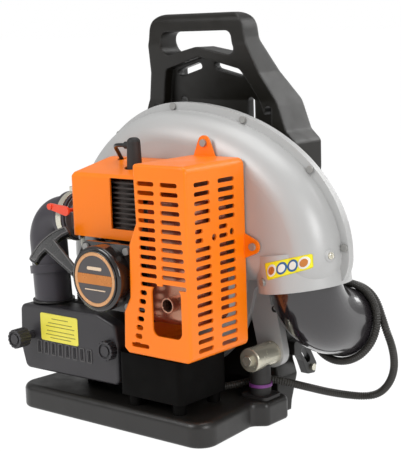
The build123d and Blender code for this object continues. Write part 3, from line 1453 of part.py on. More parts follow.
with BuildPart() as damper_posts:
    with BuildSketch(Plane.XY.offset(BASE_H)):
        with Locations((MOUNT_X, POST_Y), (-MOUNT_X, POST_Y)):
            RectangleRounded(40, 34, 6)
    extrude(amount=4)
    with BuildSketch(Plane.XY.offset(BASE_H)):
        with Locations((MOUNT_X, POST_Y), (-MOUNT_X, POST_Y)):
            Circle(POST_R)
    extrude(amount=MOUNT_Z - BASE_H)
    with BuildSketch(front(SLEEVE_BACK_Y)):
        with Locations((MOUNT_X, MOUNT_Z), (-MOUNT_X, MOUNT_Z)):
            Circle(SLEEVE_R + RUN)
    extrude(amount=60, mode=Mode.SUBTRACT)

with BuildPart() as rear_dampers:
    damper_back = 127 + PANEL_INSET
    with BuildSketch(crank(damper_back)):
        with Locations((-DAMPER_X, DAMPER_Z - CRANK_Z), (DAMPER_X, DAMPER_Z - CRANK_Z)):
            Circle(12)
    extrude(amount=damper_back - PARTING_Y - REAR_DEPTH)

# ================================================================ screws
MOUNT_HEAD_R = 7.0
with BuildPart() as housing_screws:
    rim_points = [rim_point(angle, FLANGE_W / 2) for angle in RIM_SCREWS]
    rim_front = PARTING_Y - FLANGE_T / 2
    with BuildSketch(crank(rim_front)):
        with Locations(*rim_points):
            Circle(SCREW_HEAD_R)
    extrude(amount=SCREW_HEAD_H)
    with BuildSketch(crank(rim_front + FLANGE_T)):
        with Locations(*rim_points):
            Circle(SCREW_R)
    extrude(amount=FLANGE_T)
    with BuildSketch(front(GUARD_BACK_Y - GUARD_T)):
        with Locations(*GUARD_LUGS):
            Circle(SCREW_HEAD_R)
    extrude(amount=SCREW_HEAD_H)
    with BuildSketch(front(GUARD_BACK_Y + 10)):
        with Locations(*GUARD_LUGS):
            Circle(SCREW_R - RUN)
    extrude(amount=10 + GUARD_T)
    with BuildSketch(crank(STARTER_FLANGE_Y)):
        with Locations(*BOLT_SQUARE):
            Circle(SCREW_HEAD_R)
    extrude(amount=SCREW_HEAD_H)
    with BuildSketch(crank(case_front_y + 8)):
        with Locations(*BOLT_SQUARE):
            Circle(SCREW_R - RUN)
    extrude(amount=case_front_y + 8 - STARTER_FLANGE_Y)
    for angle in COLLAR_SCREWS:
        with BuildSketch(collar_screw_plane(angle, COLLAR_R)):
            Circle(SCREW_HEAD_R)
        extrude(amount=SCREW_HEAD_H)
        with BuildSketch(collar_screw_plane(angle, COLLAR_R)):
            Circle(SCREW_R - RUN)
        extrude(amount=-9)

with BuildPart() as mount_bolts:
    with BuildSketch(front(SLEEVE_FRONT_Y)):
        with Locations((MOUNT_X, MOUNT_Z), (-MOUNT_X, MOUNT_Z)):
            RegularPolygon(MOUNT_HEAD_R, 6)
    extrude(amount=5)
    with BuildSketch(front(SLEEVE_BACK_Y + LEG_T + 6)):
        with Locations((MOUNT_X, MOUNT_Z), (-MOUNT_X, MOUNT_Z)):
            Circle(MOUNT_BOLT_R)
    extrude(amount=SLEEVE_BACK_Y + LEG_T + 6 - SLEEVE_FRONT_Y)
    with BuildSketch(front(HEEL_SEAT_Y + 5)):
        with Locations(*HEEL_BOLTS):
            RegularPolygon(HEEL_HEAD_R, 6)
    extrude(amount=5)
    with BuildSketch(front(HEEL_SEAT_Y)):
        with Locations(*HEEL_BOLTS):
            Circle(HEEL_BOLT_R - RUN)
    extrude(amount=HEEL_SEAT_Y - BASE_REAR_Y + HEEL_BOLT_REACH - 1)
    for hand in (-1, 1):
        with BuildSketch(side(hand * (FRAME_HALF_W + ANCHOR_T))):
            with Locations(ANCHOR_BOLT):
                Circle(SCREW_HEAD_R)
        extrude(amount=hand * SCREW_HEAD_H)
        with BuildSketch(side(hand * (FRAME_HALF_W + ANCHOR_T))):
            with Locations(ANCHOR_BOLT):
                Circle(SCREW_R)
        extrude(amount=-hand * (ANCHOR_T + 2))

# ================================================================ hoses, leads and the control cable
PIPE_BEND = 0.45


def bend_radii(points):
    """The largest even arc that each corner of a route allows."""
    route = [Vector(point) for point in points]
    radii = []
    for before, corner, after in zip(route, route[1:], route[2:]):
        run_in = corner - before
        run_out = after - corner
        half_turn = radians(run_in.get_angle(run_out)) / 2
        radii.append(PIPE_BEND * min(run_in.length, run_out.length) / tan(half_turn))
    return radii


def tube(points, radius):
    """A round tube along straight runs joined by tangent arcs."""
    with BuildPart() as pipe:
        with BuildLine():
            route = FilletPolyline(*points, radius=bend_radii(points))
        start = Vector(points[0])
        with BuildSketch(Plane(origin=start, z_dir=Vector(points[1]) - start)):
            Circle(radius)
        sweep(path=route)
    return pipe


COIL_R = ELBOW_R + SLIP + CONDUIT_R
COIL_TURNS = 2
COIL_ENTRY = 30.0     # where the cable runs into its coil, in degrees above level
ENTRY_LENGTH = 16.0
coil_back = SPIGOT_LENGTH + 2 * CONDUIT_R * COIL_TURNS
coil_plane = Plane(origin=mouth - mouth_dir * coil_back, x_dir=(1, 0, 0), z_dir=mouth_dir)
entry = radians(COIL_ENTRY)
entry_middle = mouth - mouth_dir * (SPIGOT_LENGTH + CONDUIT_R)
entry_up = coil_plane.x_dir.cross(mouth_dir)
entry_touch = entry_middle + (coil_plane.x_dir * cos(entry) + entry_up * sin(entry)) * COIL_R
entry_dir = coil_plane.x_dir * sin(entry) - entry_up * cos(entry)
entry_end = entry_touch + entry_dir * ENTRY_LENGTH
with BuildPart() as conduit_coil:
    with BuildSketch(coil_plane):
        Circle(COIL_R + CONDUIT_R)
        Circle(COIL_R - CONDUIT_R, mode=Mode.SUBTRACT)
    extrude(amount=2 * CONDUIT_R * COIL_TURNS)
    fillet(edges(), CONDUIT_R - 1)
    with BuildSketch(Plane(origin=entry_touch, z_dir=entry_dir)):
        Circle(CONDUIT_R)
    extrude(amount=ENTRY_LENGTH)

CONDUIT_ROUTE = [
    (CABLE_STOP_X, -12, 214),
    (-88, -12, 214),
    (-106, -12, 204),
    (-117, -12, 185),
    (-120, -12, 146),
    (-120.5, -12, 98),
    (-120, -12, 68),
    (-114, -13, 53),
    (-103, -15, 42),
    (-88, -18, 36.3),
    (-60, -24, 36.3),
    (-12, -27, 36.2),
    (40, -16, 36.3),
    (84, 6, 37),
    (106, 28, 40),
    (124, 49, 45),
    (150, 55, 48),
    (165, 67, 42.5),
    (176, 90, 33),
    (186, 116, 22.3),
    (198, 142, 13.5),
    (214, 160, 9.5),
    (231, 166, 14),
    (246, 165, 28.5),
    (257, 160, 48),
    (263.5, 151, 68),
    (265.5, 142, 88),
    tuple(entry_end + entry_dir * ENTRY_LENGTH),
    tuple(entry_end),
]
control_conduit = tube(CONDUIT_ROUTE, CONDUIT_R)
for radius in bend_radii(CONDUIT_ROUTE):
    print("conduit bend radius", round(radius, 1))

coil_out = radians(COIL_TURN)
coil_reach = coil_middle + COIL_LENGTH / 2
coil_top = (CRANK_X + coil_reach * cos(coil_out), CRANK_Z + coil_reach * sin(coil_out))
COIL_TOWER = 14.0
LEAD_ROUTE = [
    (CRANK_X - BOOT_SPOUT, ENGINE_Y, LEAD_Z),
    (-14, -40, LEAD_Z),
    (-26, -32, 341),
    (-32, -19, 331),
    (-32, -9, 315),
    (-28, -4, 295),
    (coil_top[0] + COIL_TOWER * cos(coil_out), wall_y - COIL_T / 2, coil_top[1] + COIL_TOWER * sin(coil_out)),
    (coil_top[0], wall_y - COIL_T / 2, coil_top[1]),
]
ignition_lead = tube(LEAD_ROUTE, LEAD_R)

HOSE_ROUTE = [
    (HOSE_X, PRIMER_Y, PRIMER_Z - 5),
    (HOSE_X, PRIMER_Y, PRIMER_Z - 24),
    (HOSE_X + 1, PRIMER_Y + 3, PRIMER_Z - 49),
    (HOSE_X + 5, PRIMER_Y + 9, PRIMER_Z - 71),
    (HOSE_GLAND[0], HOSE_GLAND[1], TANK_TOP_Z + GLAND_H + 11),
    (HOSE_GLAND[0], HOSE_GLAND[1], TANK_TOP_Z + GLAND_H),
]
fuel_hose = tube(HOSE_ROUTE, HOSE_R)

CONNECTOR_R = 7.0
CONNECTOR_LENGTH = 32.0
with BuildPart() as conduit_end:
    with BuildSketch(Plane(origin=coil_plane.origin - Vector(COIL_R + 3, 0, 0), z_dir=-mouth_dir)):
        Circle(CONNECTOR_R)
    extrude(amount=CONNECTOR_LENGTH)
    fillet(faces().sort_by(Axis.Y)[0].edges(), 1.5)

TIE_T = 1.5
TIE_W = 4.0
TIE_RUN = 15           # the tie holds the cable in this run of its route
tie_run = [Vector(point) for point in CONDUIT_ROUTE[TIE_RUN:TIE_RUN + 2]]
tie_dir = (tie_run[1] - tie_run[0]).normalized()
tie_middle = (tie_run[0] + tie_run[1]) / 2
with BuildPart() as cable_tie:
    with BuildSketch(Plane.XY.offset(tie_middle.Z - TIE_W / 2)):
        with Locations((MOUNT_X, POST_Y)):
            Circle(POST_R + RUN + TIE_T)
    extrude(amount=TIE_W)
    with BuildSketch(Plane(origin=tie_middle - tie_dir * TIE_W / 2, z_dir=tie_dir)):
        Circle(CONDUIT_R + SLIP + TIE_T)
    extrude(amount=TIE_W)
    with BuildSketch(Plane.XY.offset(BASE_H)):
        with Locations((MOUNT_X, POST_Y)):
            Circle(POST_R + RUN)
    extrude(amount=MOUNT_Z - BASE_H, mode=Mode.SUBTRACT)
    with BuildSketch(Plane(origin=tie_middle - tie_dir * TIE_W * 2, z_dir=tie_dir)):
        Circle(CONDUIT_R + SLIP)
    extrude(amount=TIE_W * 4, mode=Mode.SUBTRACT)

# ================================================================ output
PIECES = {
    "base_plate": base_plate,
    "back_frame": back_frame,
    "back_pad": back_pad,
    "strap_anchors": strap_anchors,
    "volute_front": volute_front,
    "volute_rear": volute_rear,
    "inlet_grille": inlet_grille,
    "impeller": impeller,
    "impeller_nut": impeller_nut,
    "flywheel": flywheel,
    "outlet_elbow": outlet_elbow,
    "crankcase_front": crankcase_front,
    "crankcase_rear": crankcase_rear,
    "main_bearings": main_bearings,
    "crankshaft": crankshaft,
    "starter_cup": starter_cup,
    "connecting_rod": connecting_rod,
    "piston_pins": piston_pins,
    "piston": piston,
    "cylinder": cylinder,
    "spark_plug": spark_plug,
    "plug_boot": plug_boot,
    "ignition_coil": ignition_coil,
    "ignition_lead": ignition_lead,
    "muffler": muffler,
    "muffler_guard": muffler_guard,
    "cylinder_cowl": cylinder_cowl,
    "starter_housing": starter_housing,
    "starter_badge": starter_badge,
    "starter_pulley": starter_pulley,
    "wound_rope": wound_rope,
    "recoil_spring": recoil_spring,
    "starter_handle": starter_handle,
    "rope_end": rope_end,
    "insulator_block": insulator_block,
    "carburettor": carburettor,
    "choke_lever": choke_lever,
    "throttle_lever": throttle_lever,
    "primer_bulb": primer_bulb,
    "fuel_hose": fuel_hose,
    "intake_duct": intake_duct,
    "intake_clamp": intake_clamp,
    "filter_cover": filter_cover,
    "knob_left": knob_left,
    "knob_right": knob_right,
    "filter_case": filter_case,
    "filter_element": filter_element,
    "fuel_tank": fuel_tank,
    "fuel_cap": fuel_cap,
    "damper_sleeves": damper_sleeves,
    "damper_posts": damper_posts,
    "rear_dampers": rear_dampers,
    "housing_screws": housing_screws,
    "mount_bolts": mount_bolts,
    "control_conduit": control_conduit,
    "conduit_coil": conduit_coil,
    "conduit_end": conduit_end,
    "cable_tie": cable_tie,
}
os.makedirs("parts", exist_ok=True)
for label, piece in PIECES.items():
    piece.part.label = label
    export_step(piece.part, f"parts/{label}.step")
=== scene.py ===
import json
import math

import bmesh
import bpy
from mathutils import Matrix, Vector
from mathutils.bvhtree import BVHTree


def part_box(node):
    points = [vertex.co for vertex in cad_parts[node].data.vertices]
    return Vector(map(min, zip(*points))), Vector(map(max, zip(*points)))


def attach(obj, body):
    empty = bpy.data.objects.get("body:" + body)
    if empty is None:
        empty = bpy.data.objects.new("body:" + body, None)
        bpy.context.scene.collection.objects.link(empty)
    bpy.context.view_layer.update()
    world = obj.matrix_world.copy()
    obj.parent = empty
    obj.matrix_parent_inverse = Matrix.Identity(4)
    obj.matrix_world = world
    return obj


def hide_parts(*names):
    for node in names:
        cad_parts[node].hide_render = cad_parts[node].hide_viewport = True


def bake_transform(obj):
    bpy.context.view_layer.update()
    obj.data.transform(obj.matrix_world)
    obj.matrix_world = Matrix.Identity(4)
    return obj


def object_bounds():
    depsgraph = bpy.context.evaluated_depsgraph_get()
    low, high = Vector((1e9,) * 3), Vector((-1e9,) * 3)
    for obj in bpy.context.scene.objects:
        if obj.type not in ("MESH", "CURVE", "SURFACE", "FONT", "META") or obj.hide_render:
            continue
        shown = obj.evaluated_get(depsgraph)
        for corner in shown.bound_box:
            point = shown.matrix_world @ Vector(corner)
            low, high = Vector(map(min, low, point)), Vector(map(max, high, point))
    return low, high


# A backpack leaf blower in metres: +Z up, +Y towards the wearer, +X on the air outlet's side.
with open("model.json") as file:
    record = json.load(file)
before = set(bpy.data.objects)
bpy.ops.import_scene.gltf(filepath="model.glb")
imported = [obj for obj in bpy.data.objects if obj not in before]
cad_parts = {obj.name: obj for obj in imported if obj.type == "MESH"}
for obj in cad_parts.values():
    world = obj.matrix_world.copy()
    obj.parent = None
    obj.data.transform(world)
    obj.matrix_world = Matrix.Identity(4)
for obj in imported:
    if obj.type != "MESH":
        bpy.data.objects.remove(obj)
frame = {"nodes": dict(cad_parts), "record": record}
nodes = frame["nodes"]
cad_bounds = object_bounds()
scene = bpy.context.scene
scene.view_settings.view_transform = "Standard"


def mm(*values):
    """A point or direction given in millimetres, in metres."""
    return Vector([value / 1000 for value in values])


# ---------------------------------------------------------------- camera
CAMERA_AT = Vector((1.0114, -1.1118, 0.4818))
CAMERA_LOOKS_AT = Vector((0.0393, 0.0513, 0.2333))
CAMERA_ROLL = math.radians(-1.83)
CAMERA_LENS = 95.75
CAMERA_SENSOR_W = 36
camera_data = bpy.data.cameras.new("camera")
camera_data.lens = CAMERA_LENS
camera_data.sensor_width = CAMERA_SENSOR_W
camera = bpy.data.objects.new("camera", camera_data)
turned = (CAMERA_LOOKS_AT - CAMERA_AT).to_track_quat("-Z", "Y").to_matrix()
camera.matrix_world = Matrix.Translation(CAMERA_AT) @ (turned @ Matrix.Rotation(CAMERA_ROLL, 3, "Z")).to_4x4()
scene.collection.objects.link(camera)
scene.camera = camera


# ---------------------------------------------------------------- materials
BEVEL_SAMPLES = 4
GRAIN_DEPTH = 0.0004
GLOSS_SPREAD = 0.06
LEAST_ROUGH = 0.02
SPECK_SCALE = 2600
SPECK_FROM, SPECK_TO = 0.62, 0.75
SPECK_LIFT = 0.1
WEAR_FROM, WEAR_TO = 0.75, 0.98
WEAR_KEEP, WEAR_LIFT = 0.5, 0.35
WEAVE_SCALE = 160
WEAVE_STRENGTH = 0.7
WEAVE_DEPTH = 0.0008


def srgb(red, green, blue):
    """An sRGB colour from 0 to 255 as a linear one."""
    def linear(value):
        value /= 255
        return value / 12.92 if value <= 0.04045 else ((value + 0.055) / 1.055) ** 2.4
    return (linear(red), linear(green), linear(blue), 1.0)


def noise(tree, place, scale, detail, stretch=None):
    """A noise texture's value in object space, drawn out along an axis by stretch."""
    node = tree.nodes.new("ShaderNodeTexNoise")
    node.inputs["Scale"].default_value = scale
    node.inputs["Detail"].default_value = detail
    if stretch:
        mapping = tree.nodes.new("ShaderNodeMapping")
        mapping.inputs["Scale"].default_value = stretch
        tree.links.new(place, mapping.inputs["Vector"])
        place = mapping.outputs["Vector"]
    tree.links.new(place, node.inputs["Vector"])
    return node.outputs["Fac"]


def spread(tree, value, low, high, start=0.3, end=0.7):
    """A value from start to end as one from low to high."""
    node = tree.nodes.new("ShaderNodeMapRange")
    tree.links.new(value, node.inputs["Value"])
    for socket, number in zip(("From Min", "From Max", "To Min", "To Max"), (start, end, low, high)):
        node.inputs[socket].default_value = number
    return node.outputs["Result"]


def blend_colour(tree, factor, first, second):
    """A colour from first to second; each is a colour or a socket."""
    node = tree.nodes.new("ShaderNodeMix")
    node.data_type = "RGBA"
    tree.links.new(factor, node.inputs["Factor"])
    for index, colour in ((6, first), (7, second)):
        if isinstance(colour, tuple):
            node.inputs[index].default_value = colour
        else:
            tree.links.new(colour, node.inputs[index])
    return node.outputs[2]


def finish_of(name, colour, rough, metallic=0.0, tone=0.1, patch=25, grain=900, bump=0.06, stretch=None,
              edge=0.0, round_edge=0.0008, specks=0.0, **sockets):
    """A material with colour patches, a fine grain, uneven gloss, softened edges and wear on them."""
    made = bpy.data.materials.new(name)
    made.use_nodes = True
    tree = made.node_tree
    shader = tree.nodes["Principled BSDF"]
    place = tree.nodes.new("ShaderNodeTexCoord").outputs["Object"]
    base = srgb(*colour)
    darker = tuple(c * (1 - tone) for c in base[:3]) + (1,)
    lighter = tuple(min(1, c * (1 + tone)) for c in base[:3]) + (1,)
    shade = blend_colour(tree, spread(tree, noise(tree, place, patch, detail=5), 0, 1), darker, lighter)
    if specks:
        paler = tuple(min(1, c * (1 + 2 * specks) + SPECK_LIFT * specks) for c in base[:3]) + (1,)
        points = spread(tree, noise(tree, place, SPECK_SCALE, detail=1), 0, specks, SPECK_FROM, SPECK_TO)
        shade = blend_colour(tree, points, shade, paler)
    normal = None
    if round_edge:
        bevel = tree.nodes.new("ShaderNodeBevel")
        bevel.samples = BEVEL_SAMPLES
        bevel.inputs["Radius"].default_value = round_edge
        normal = bevel.outputs["Normal"]
        if edge:
            flat = tree.nodes.new("ShaderNodeNewGeometry").outputs["Normal"]
            meet = tree.nodes.new("ShaderNodeVectorMath")
            meet.operation = "DOT_PRODUCT"
            tree.links.new(normal, meet.inputs[0])
            tree.links.new(flat, meet.inputs[1])
            worn = spread(tree, meet.outputs["Value"], edge, 0, WEAR_FROM, WEAR_TO)
            pale = tuple(c * WEAR_KEEP + WEAR_LIFT for c in base[:3]) + (1,)
            shade = blend_colour(tree, worn, shade, pale)
    tree.links.new(shade, shader.inputs["Base Color"])
    shader.inputs["Metallic"].default_value = metallic
    smoothest = max(LEAST_ROUGH, rough - GLOSS_SPREAD)
    gloss = spread(tree, noise(tree, place, patch * 3, detail=4), smoothest, rough + GLOSS_SPREAD)
    tree.links.new(gloss, shader.inputs["Roughness"])
    relief = tree.nodes.new("ShaderNodeBump")
    relief.inputs["Strength"].default_value = bump
    relief.inputs["Distance"].default_value = GRAIN_DEPTH
    tree.links.new(noise(tree, place, grain, detail=2, stretch=stretch), relief.inputs["Height"])
    if normal:
        tree.links.new(normal, relief.inputs["Normal"])
    tree.links.new(relief.outputs["Normal"], shader.inputs["Normal"])
    for socket, value in sockets.items():
        shader.inputs[socket.replace("_", " ")].default_value = value
    return made


orange = finish_of("orange_moulding", (255, 126, 0), 0.36, tone=0.03, patch=12, grain=700, bump=0.03,
                   edge=0.1, Coat_Weight=0.12, Coat_Roughness=0.15, Specular_IOR_Level=0.35)
black = finish_of("black_moulding", (26, 24, 22), 0.36, tone=0.14, patch=18, grain=1500, bump=0.16,
                  edge=0.08, round_edge=0.0018, Specular_IOR_Level=0.55)
frame_black = finish_of("frame_moulding", (24, 22, 18), 0.34, tone=0.14, patch=18, grain=1500, bump=0.14,
                        edge=0.08, round_edge=0.004, Specular_IOR_Level=0.32)
# The fuel tank's near-black colour is painted shade: the tank sits in deep shadow under the guard, and this
# darker colour stands in for that shadow.
tank_painted_shade = finish_of("tank_painted_shade_moulding", (6, 5, 4), 0.62, tone=0.15, patch=18, grain=1500, bump=0.2,
                        Specular_IOR_Level=0.08)
starter_black = finish_of("starter_moulding", (26, 22, 21), 0.22, tone=0.15, grain=900, bump=0.04, edge=0.12,
                          Coat_Weight=0.5, Coat_Roughness=0.08)
handle_black = finish_of("handle_moulding", (17, 16, 15), 0.28, tone=0.1, patch=18, grain=1200, bump=0.08,
                         edge=0.6, round_edge=0.0022)
rim_grey = finish_of("moulded_rims", (84, 82, 82), 0.4, tone=0.06, grain=1200, bump=0.05, round_edge=0)
charcoal = finish_of("charcoal_moulding", (48, 46, 49), 0.4, tone=0.08, patch=14, grain=1600, bump=0.2,
                     edge=0.12)
duct_black = finish_of("duct_moulding", (60, 57, 63), 0.34, tone=0.1, patch=16, grain=1300, bump=0.12,
                       edge=0.1)
elbow_gloss = finish_of("elbow_moulding", (36, 33, 36), 0.17, tone=0.07, patch=10, grain=500, bump=0.02,
                        Coat_Weight=0.8, Coat_Roughness=0.05)
shell_grey = finish_of("shell_grey", (182, 182, 181), 0.4, metallic=0.12, tone=0.015, patch=5, grain=1400,
                       bump=0.03, edge=0.15, round_edge=0.0012, specks=0.05, Coat_Weight=0.18,
                       Coat_Roughness=0.3)
cylinder_metal = finish_of("cylinder_metal", (58, 50, 46), 0.45, metallic=0.4, tone=0.15, patch=60,
                           grain=1100, bump=0.3, edge=0.3)
alloy = finish_of("cast_alloy", (150, 150, 152), 0.42, metallic=0.85, tone=0.14, patch=60, grain=1100,
                  bump=0.4)
steel = finish_of("turned_steel", (175, 174, 172), 0.26, metallic=1.0, tone=0.08, grain=800, bump=0.08,
                  stretch=(1, 8, 1))
bright = finish_of("bright_steel", (220, 216, 200), 0.2, metallic=0.75, tone=0.07, grain=700, bump=0.05,
                   stretch=(1, 6, 1))
dull_screw = finish_of("dull_screw", (158, 157, 154), 0.42, metallic=0.5, tone=0.06, grain=700, bump=0.05)
nickel = finish_of("nickel_sleeve", (206, 202, 184), 0.22, metallic=0.7, tone=0.1, patch=35, grain=900,
                   bump=0.1, stretch=(6, 0.6, 6), edge=0.15)
silencer = finish_of("silencer_steel", (176, 128, 106), 0.24, metallic=0.85, tone=0.25, patch=14, grain=600,
                     bump=0.08, stretch=(6, 6, 0.6))
nylon = finish_of("filled_nylon", (60, 58, 56), 0.55, tone=0.15, grain=1500, bump=0.25)
rubber = finish_of("black_rubber", (30, 28, 27), 0.6, tone=0.18, patch=30, grain=1200, bump=0.2)
lead_rubber = finish_of("lead_rubber", (24, 23, 24), 0.35, tone=0.12, grain=1600, bump=0.1)
ribbed = finish_of("ribbed_plastic", (44, 42, 38), 0.4, tone=0.14, patch=40, grain=1500, bump=0.1,
                   round_edge=0)
cord_yarn = finish_of("rope_yarn", (70, 66, 62), 0.8, tone=0.3, patch=700, grain=2500, bump=0.6,
                      round_edge=0, Sheen_Weight=0.3)
paper = finish_of("filter_paper", (205, 190, 150), 0.85, tone=0.12, grain=1200, bump=0.5)
choke_red = finish_of("choke_red", (240, 70, 32), 0.35, tone=0.08, grain=900, bump=0.05, Coat_Weight=0.3)
hose_yellow = finish_of("fuel_hose", (196, 202, 62), 0.25, tone=0.08, grain=600, bump=0.03,
                        Transmission_Weight=0.35, Subsurface_Weight=0.2)
clear = finish_of("primer_clear", (238, 238, 226), 0.12, tone=0.03, grain=500, bump=0.02,
                  Transmission_Weight=0.6)
purple = finish_of("tie_purple", (112, 50, 122), 0.42, tone=0.08, grain=700, bump=0.06)
disc_dark = finish_of("badge_dark", (74, 69, 70), 0.34, tone=0.08, grain=900, bump=0.05)
bronze = finish_of("badge_bronze", (214, 160, 112), 0.3, metallic=0.35, tone=0.06, grain=900, bump=0.04)
bronze_deep = finish_of("badge_stripe", (196, 122, 56), 0.3, metallic=0.3, tone=0.07, grain=900, bump=0.04)
pale_mark = finish_of("pale_mark", (226, 200, 172), 0.4, tone=0.05, grain=900, bump=0.03)
yellow_foil = finish_of("yellow_foil", (238, 226, 84), 0.35, tone=0.05, patch=30, grain=900, bump=0.03)
lemon_foil = finish_of("lemon_foil", (244, 232, 36), 0.3, tone=0.04, patch=30, grain=900, bump=0.03)
grey_ink = finish_of("grey_ink", (150, 142, 60), 0.5, tone=0.05, grain=900, bump=0.03)
blue_ink = finish_of("blue_ink", (44, 96, 150), 0.4, tone=0.05, grain=900, bump=0.03)
white_ink = finish_of("white_ink", (232, 232, 224), 0.4, tone=0.03, grain=900, bump=0.03)


def woven_cloth():
    """Black air mesh: a fine square weave with a little sheen."""
    made = finish_of("woven_cloth", (38, 38, 40), 0.85, tone=0.2, patch=90, grain=1500, bump=0.3,
                     round_edge=0, Sheen_Weight=0.5)
    tree = made.node_tree
    shader = tree.nodes["Principled BSDF"]
    place = tree.nodes.new("ShaderNodeTexCoord").outputs["Object"]
    heights = []
    for direction in ("X", "Z"):
        wave = tree.nodes.new("ShaderNodeTexWave")
        wave.bands_direction = direction
        wave.inputs["Scale"].default_value = WEAVE_SCALE
        tree.links.new(place, wave.inputs["Vector"])
        heights.append(wave.outputs["Fac"])
    meet = tree.nodes.new("ShaderNodeMath")
    meet.operation = "MULTIPLY"
    tree.links.new(heights[0], meet.inputs[0])
    tree.links.new(heights[1], meet.inputs[1])
    relief = tree.nodes.new("ShaderNodeBump")
    relief.inputs["Strength"].default_value = WEAVE_STRENGTH
    relief.inputs["Distance"].default_value = WEAVE_DEPTH
    tree.links.new(meet.outputs["Value"], relief.inputs["Height"])
    tree.links.new(relief.outputs["Normal"], shader.inputs["Normal"])
    return made


cloth = woven_cloth()

NODE_FINISH = {
    "base_plate": black, "back_frame": frame_black, "strap_anchors": black, "inlet_grille": black,
    "starter_housing": starter_black, "starter_handle": handle_black, "intake_duct": duct_black,
    "knob_left": charcoal, "knob_right": charcoal, "filter_case": black, "fuel_cap": black,
    # The fuel tank takes the near-black painted shade.
    "filter_cover": charcoal, "fuel_tank": tank_painted_shade, "volute_front": shell_grey, "volute_rear": shell_grey,
    "impeller": nylon, "ignition_coil": nylon, "starter_pulley": nylon, "insulator_block": nylon,
    "impeller_nut": steel, "main_bearings": steel, "crankshaft": steel, "starter_cup": steel,
    "connecting_rod": steel, "piston_pins": steel, "recoil_spring": steel, "throttle_lever": steel,
    "mount_bolts": bright, "flywheel": alloy, "crankcase_front": alloy, "crankcase_rear": alloy,
    "piston": alloy, "cylinder": cylinder_metal, "carburettor": alloy, "outlet_elbow": elbow_gloss,
    "spark_plug": bright, "intake_clamp": bright, "damper_sleeves": nickel, "housing_screws": dull_screw,
    "plug_boot": rubber, "damper_posts": rubber, "rear_dampers": rubber, "ignition_lead": lead_rubber,
    "muffler": silencer, "muffler_guard": orange, "cylinder_cowl": orange, "starter_badge": disc_dark,
    "wound_rope": cord_yarn, "choke_lever": choke_red, "primer_bulb": clear, "fuel_hose": hose_yellow,
    "filter_element": paper, "cable_tie": purple, "back_pad": cloth, "control_conduit": ribbed,
    "conduit_coil": ribbed, "conduit_end": rubber, "rope_end": cord_yarn,
}
for node_name, node_finish in NODE_FINISH.items():
    mesh = nodes[node_name].data
    mesh.materials.clear()
    mesh.materials.append(node_finish)


# ---------------------------------------------------------------- mesh helpers
ROUTE_RESOLUTION = 24
LINE_STEP = 0.001


def piece(name, verts, faces, made_of, body, slot, smooth=True):
    """A mesh piece with a finish, riding on a body where one is given; the slot is not used."""
    mesh = bpy.data.meshes.new(name)
    mesh.from_pydata([tuple(v) for v in verts], [], faces)
    shape = bmesh.new()
    shape.from_mesh(mesh)
    bmesh.ops.recalc_face_normals(shape, faces=shape.faces)
    shape.to_mesh(mesh)
    shape.free()
    mesh.materials.append(made_of)
    if smooth:
        mesh.shade_smooth()
    else:
        mesh.shade_flat()
    made = bpy.data.objects.new(name, mesh)
    scene.collection.objects.link(made)
    if body:
        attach(made, body)
    return made


def spline_line(points):
    """Points along the NURBS spline that a route's points control."""
    data = bpy.data.curves.new("route", "CURVE")
    data.dimensions = "3D"
    spline = data.splines.new("NURBS")
    spline.points.add(len(points) - 1)
    for control, point in zip(spline.points, points):
        control.co = (*point, 1)
    spline.order_u = 3
    spline.use_endpoint_u = True
    spline.resolution_u = ROUTE_RESOLUTION
    guide = bpy.data.objects.new("route", data)
    scene.collection.objects.link(guide)
    mesh = bpy.data.meshes.new_from_object(guide)
    line = [vertex.co.copy() for vertex in mesh.vertices]
    bpy.data.objects.remove(guide)
    bpy.data.curves.remove(data)
    bpy.data.meshes.remove(mesh)
    return line


def even_steps(line, step):
    """A line's points at an even spacing near step, ends included, and its length."""
    reach = [0.0]
    for before, after in zip(line, line[1:]):
        reach.append(reach[-1] + (after - before).length)
    count = max(2, round(reach[-1] / step))
    points = []
    index = 0
    for number in range(count + 1):
        target = reach[-1] * number / count
        while index < len(line) - 2 and reach[index + 1] < target:
            index += 1
        run = reach[index + 1] - reach[index]
        points.append(line[index].lerp(line[index + 1], (target - reach[index]) / run if run else 0))
    return points, reach[-1]


def sections(points):
    """Each point with two directions across the line, which don't twist along it."""
    across = None
    made = []
    for index, point in enumerate(points):
        along = (points[min(index + 1, len(points) - 1)] - points[max(index - 1, 0)]).normalized()
        if across is None:
            across = along.orthogonal().normalized()
        across = (across - along * across.dot(along)).normalized()
        made.append((point, across.copy(), along.cross(across)))
    return made


def swept(points, radius_at, sides):
    """Vertices and faces of a closed tube whose radius at each point comes from radius_at(index)."""
    verts = []
    faces = []
    for index, (point, across, up) in enumerate(sections(points)):
        for side in range(sides):
            angle = 2 * math.pi * side / sides
            verts.append(point + (across * math.cos(angle) + up * math.sin(angle)) * radius_at(index))
    for ring in range(len(points) - 1):
        for side in range(sides):
            after = (side + 1) % sides
            faces.append((ring * sides + side, ring * sides + after, (ring + 1) * sides + after,
                          (ring + 1) * sides + side))
    faces.append(tuple(range(sides)))
    faces.append(tuple(range((len(points) - 1) * sides, len(points) * sides)))
    return verts, faces


def turned_shape(profile, origin, axis, sides=48):
    """Vertices and faces of a closed profile of (radius, height) turned about an axis."""
    axis = Vector(axis).normalized()
    across = axis.orthogonal().normalized()
    up = axis.cross(across)
    verts = []
    faces = []
    for side in range(sides):
        angle = 2 * math.pi * side / sides
        out = across * math.cos(angle) + up * math.sin(angle)
        verts.extend(Vector(origin) + out * radius + axis * height for radius, height in profile)
    count = len(profile)
    for side in range(sides):
        after = (side + 1) % sides
        for index in range(count):
            nxt = (index + 1) % count
            faces.append((side * count + index, side * count + nxt, after * count + nxt,
                          after * count + index))
    return verts, faces


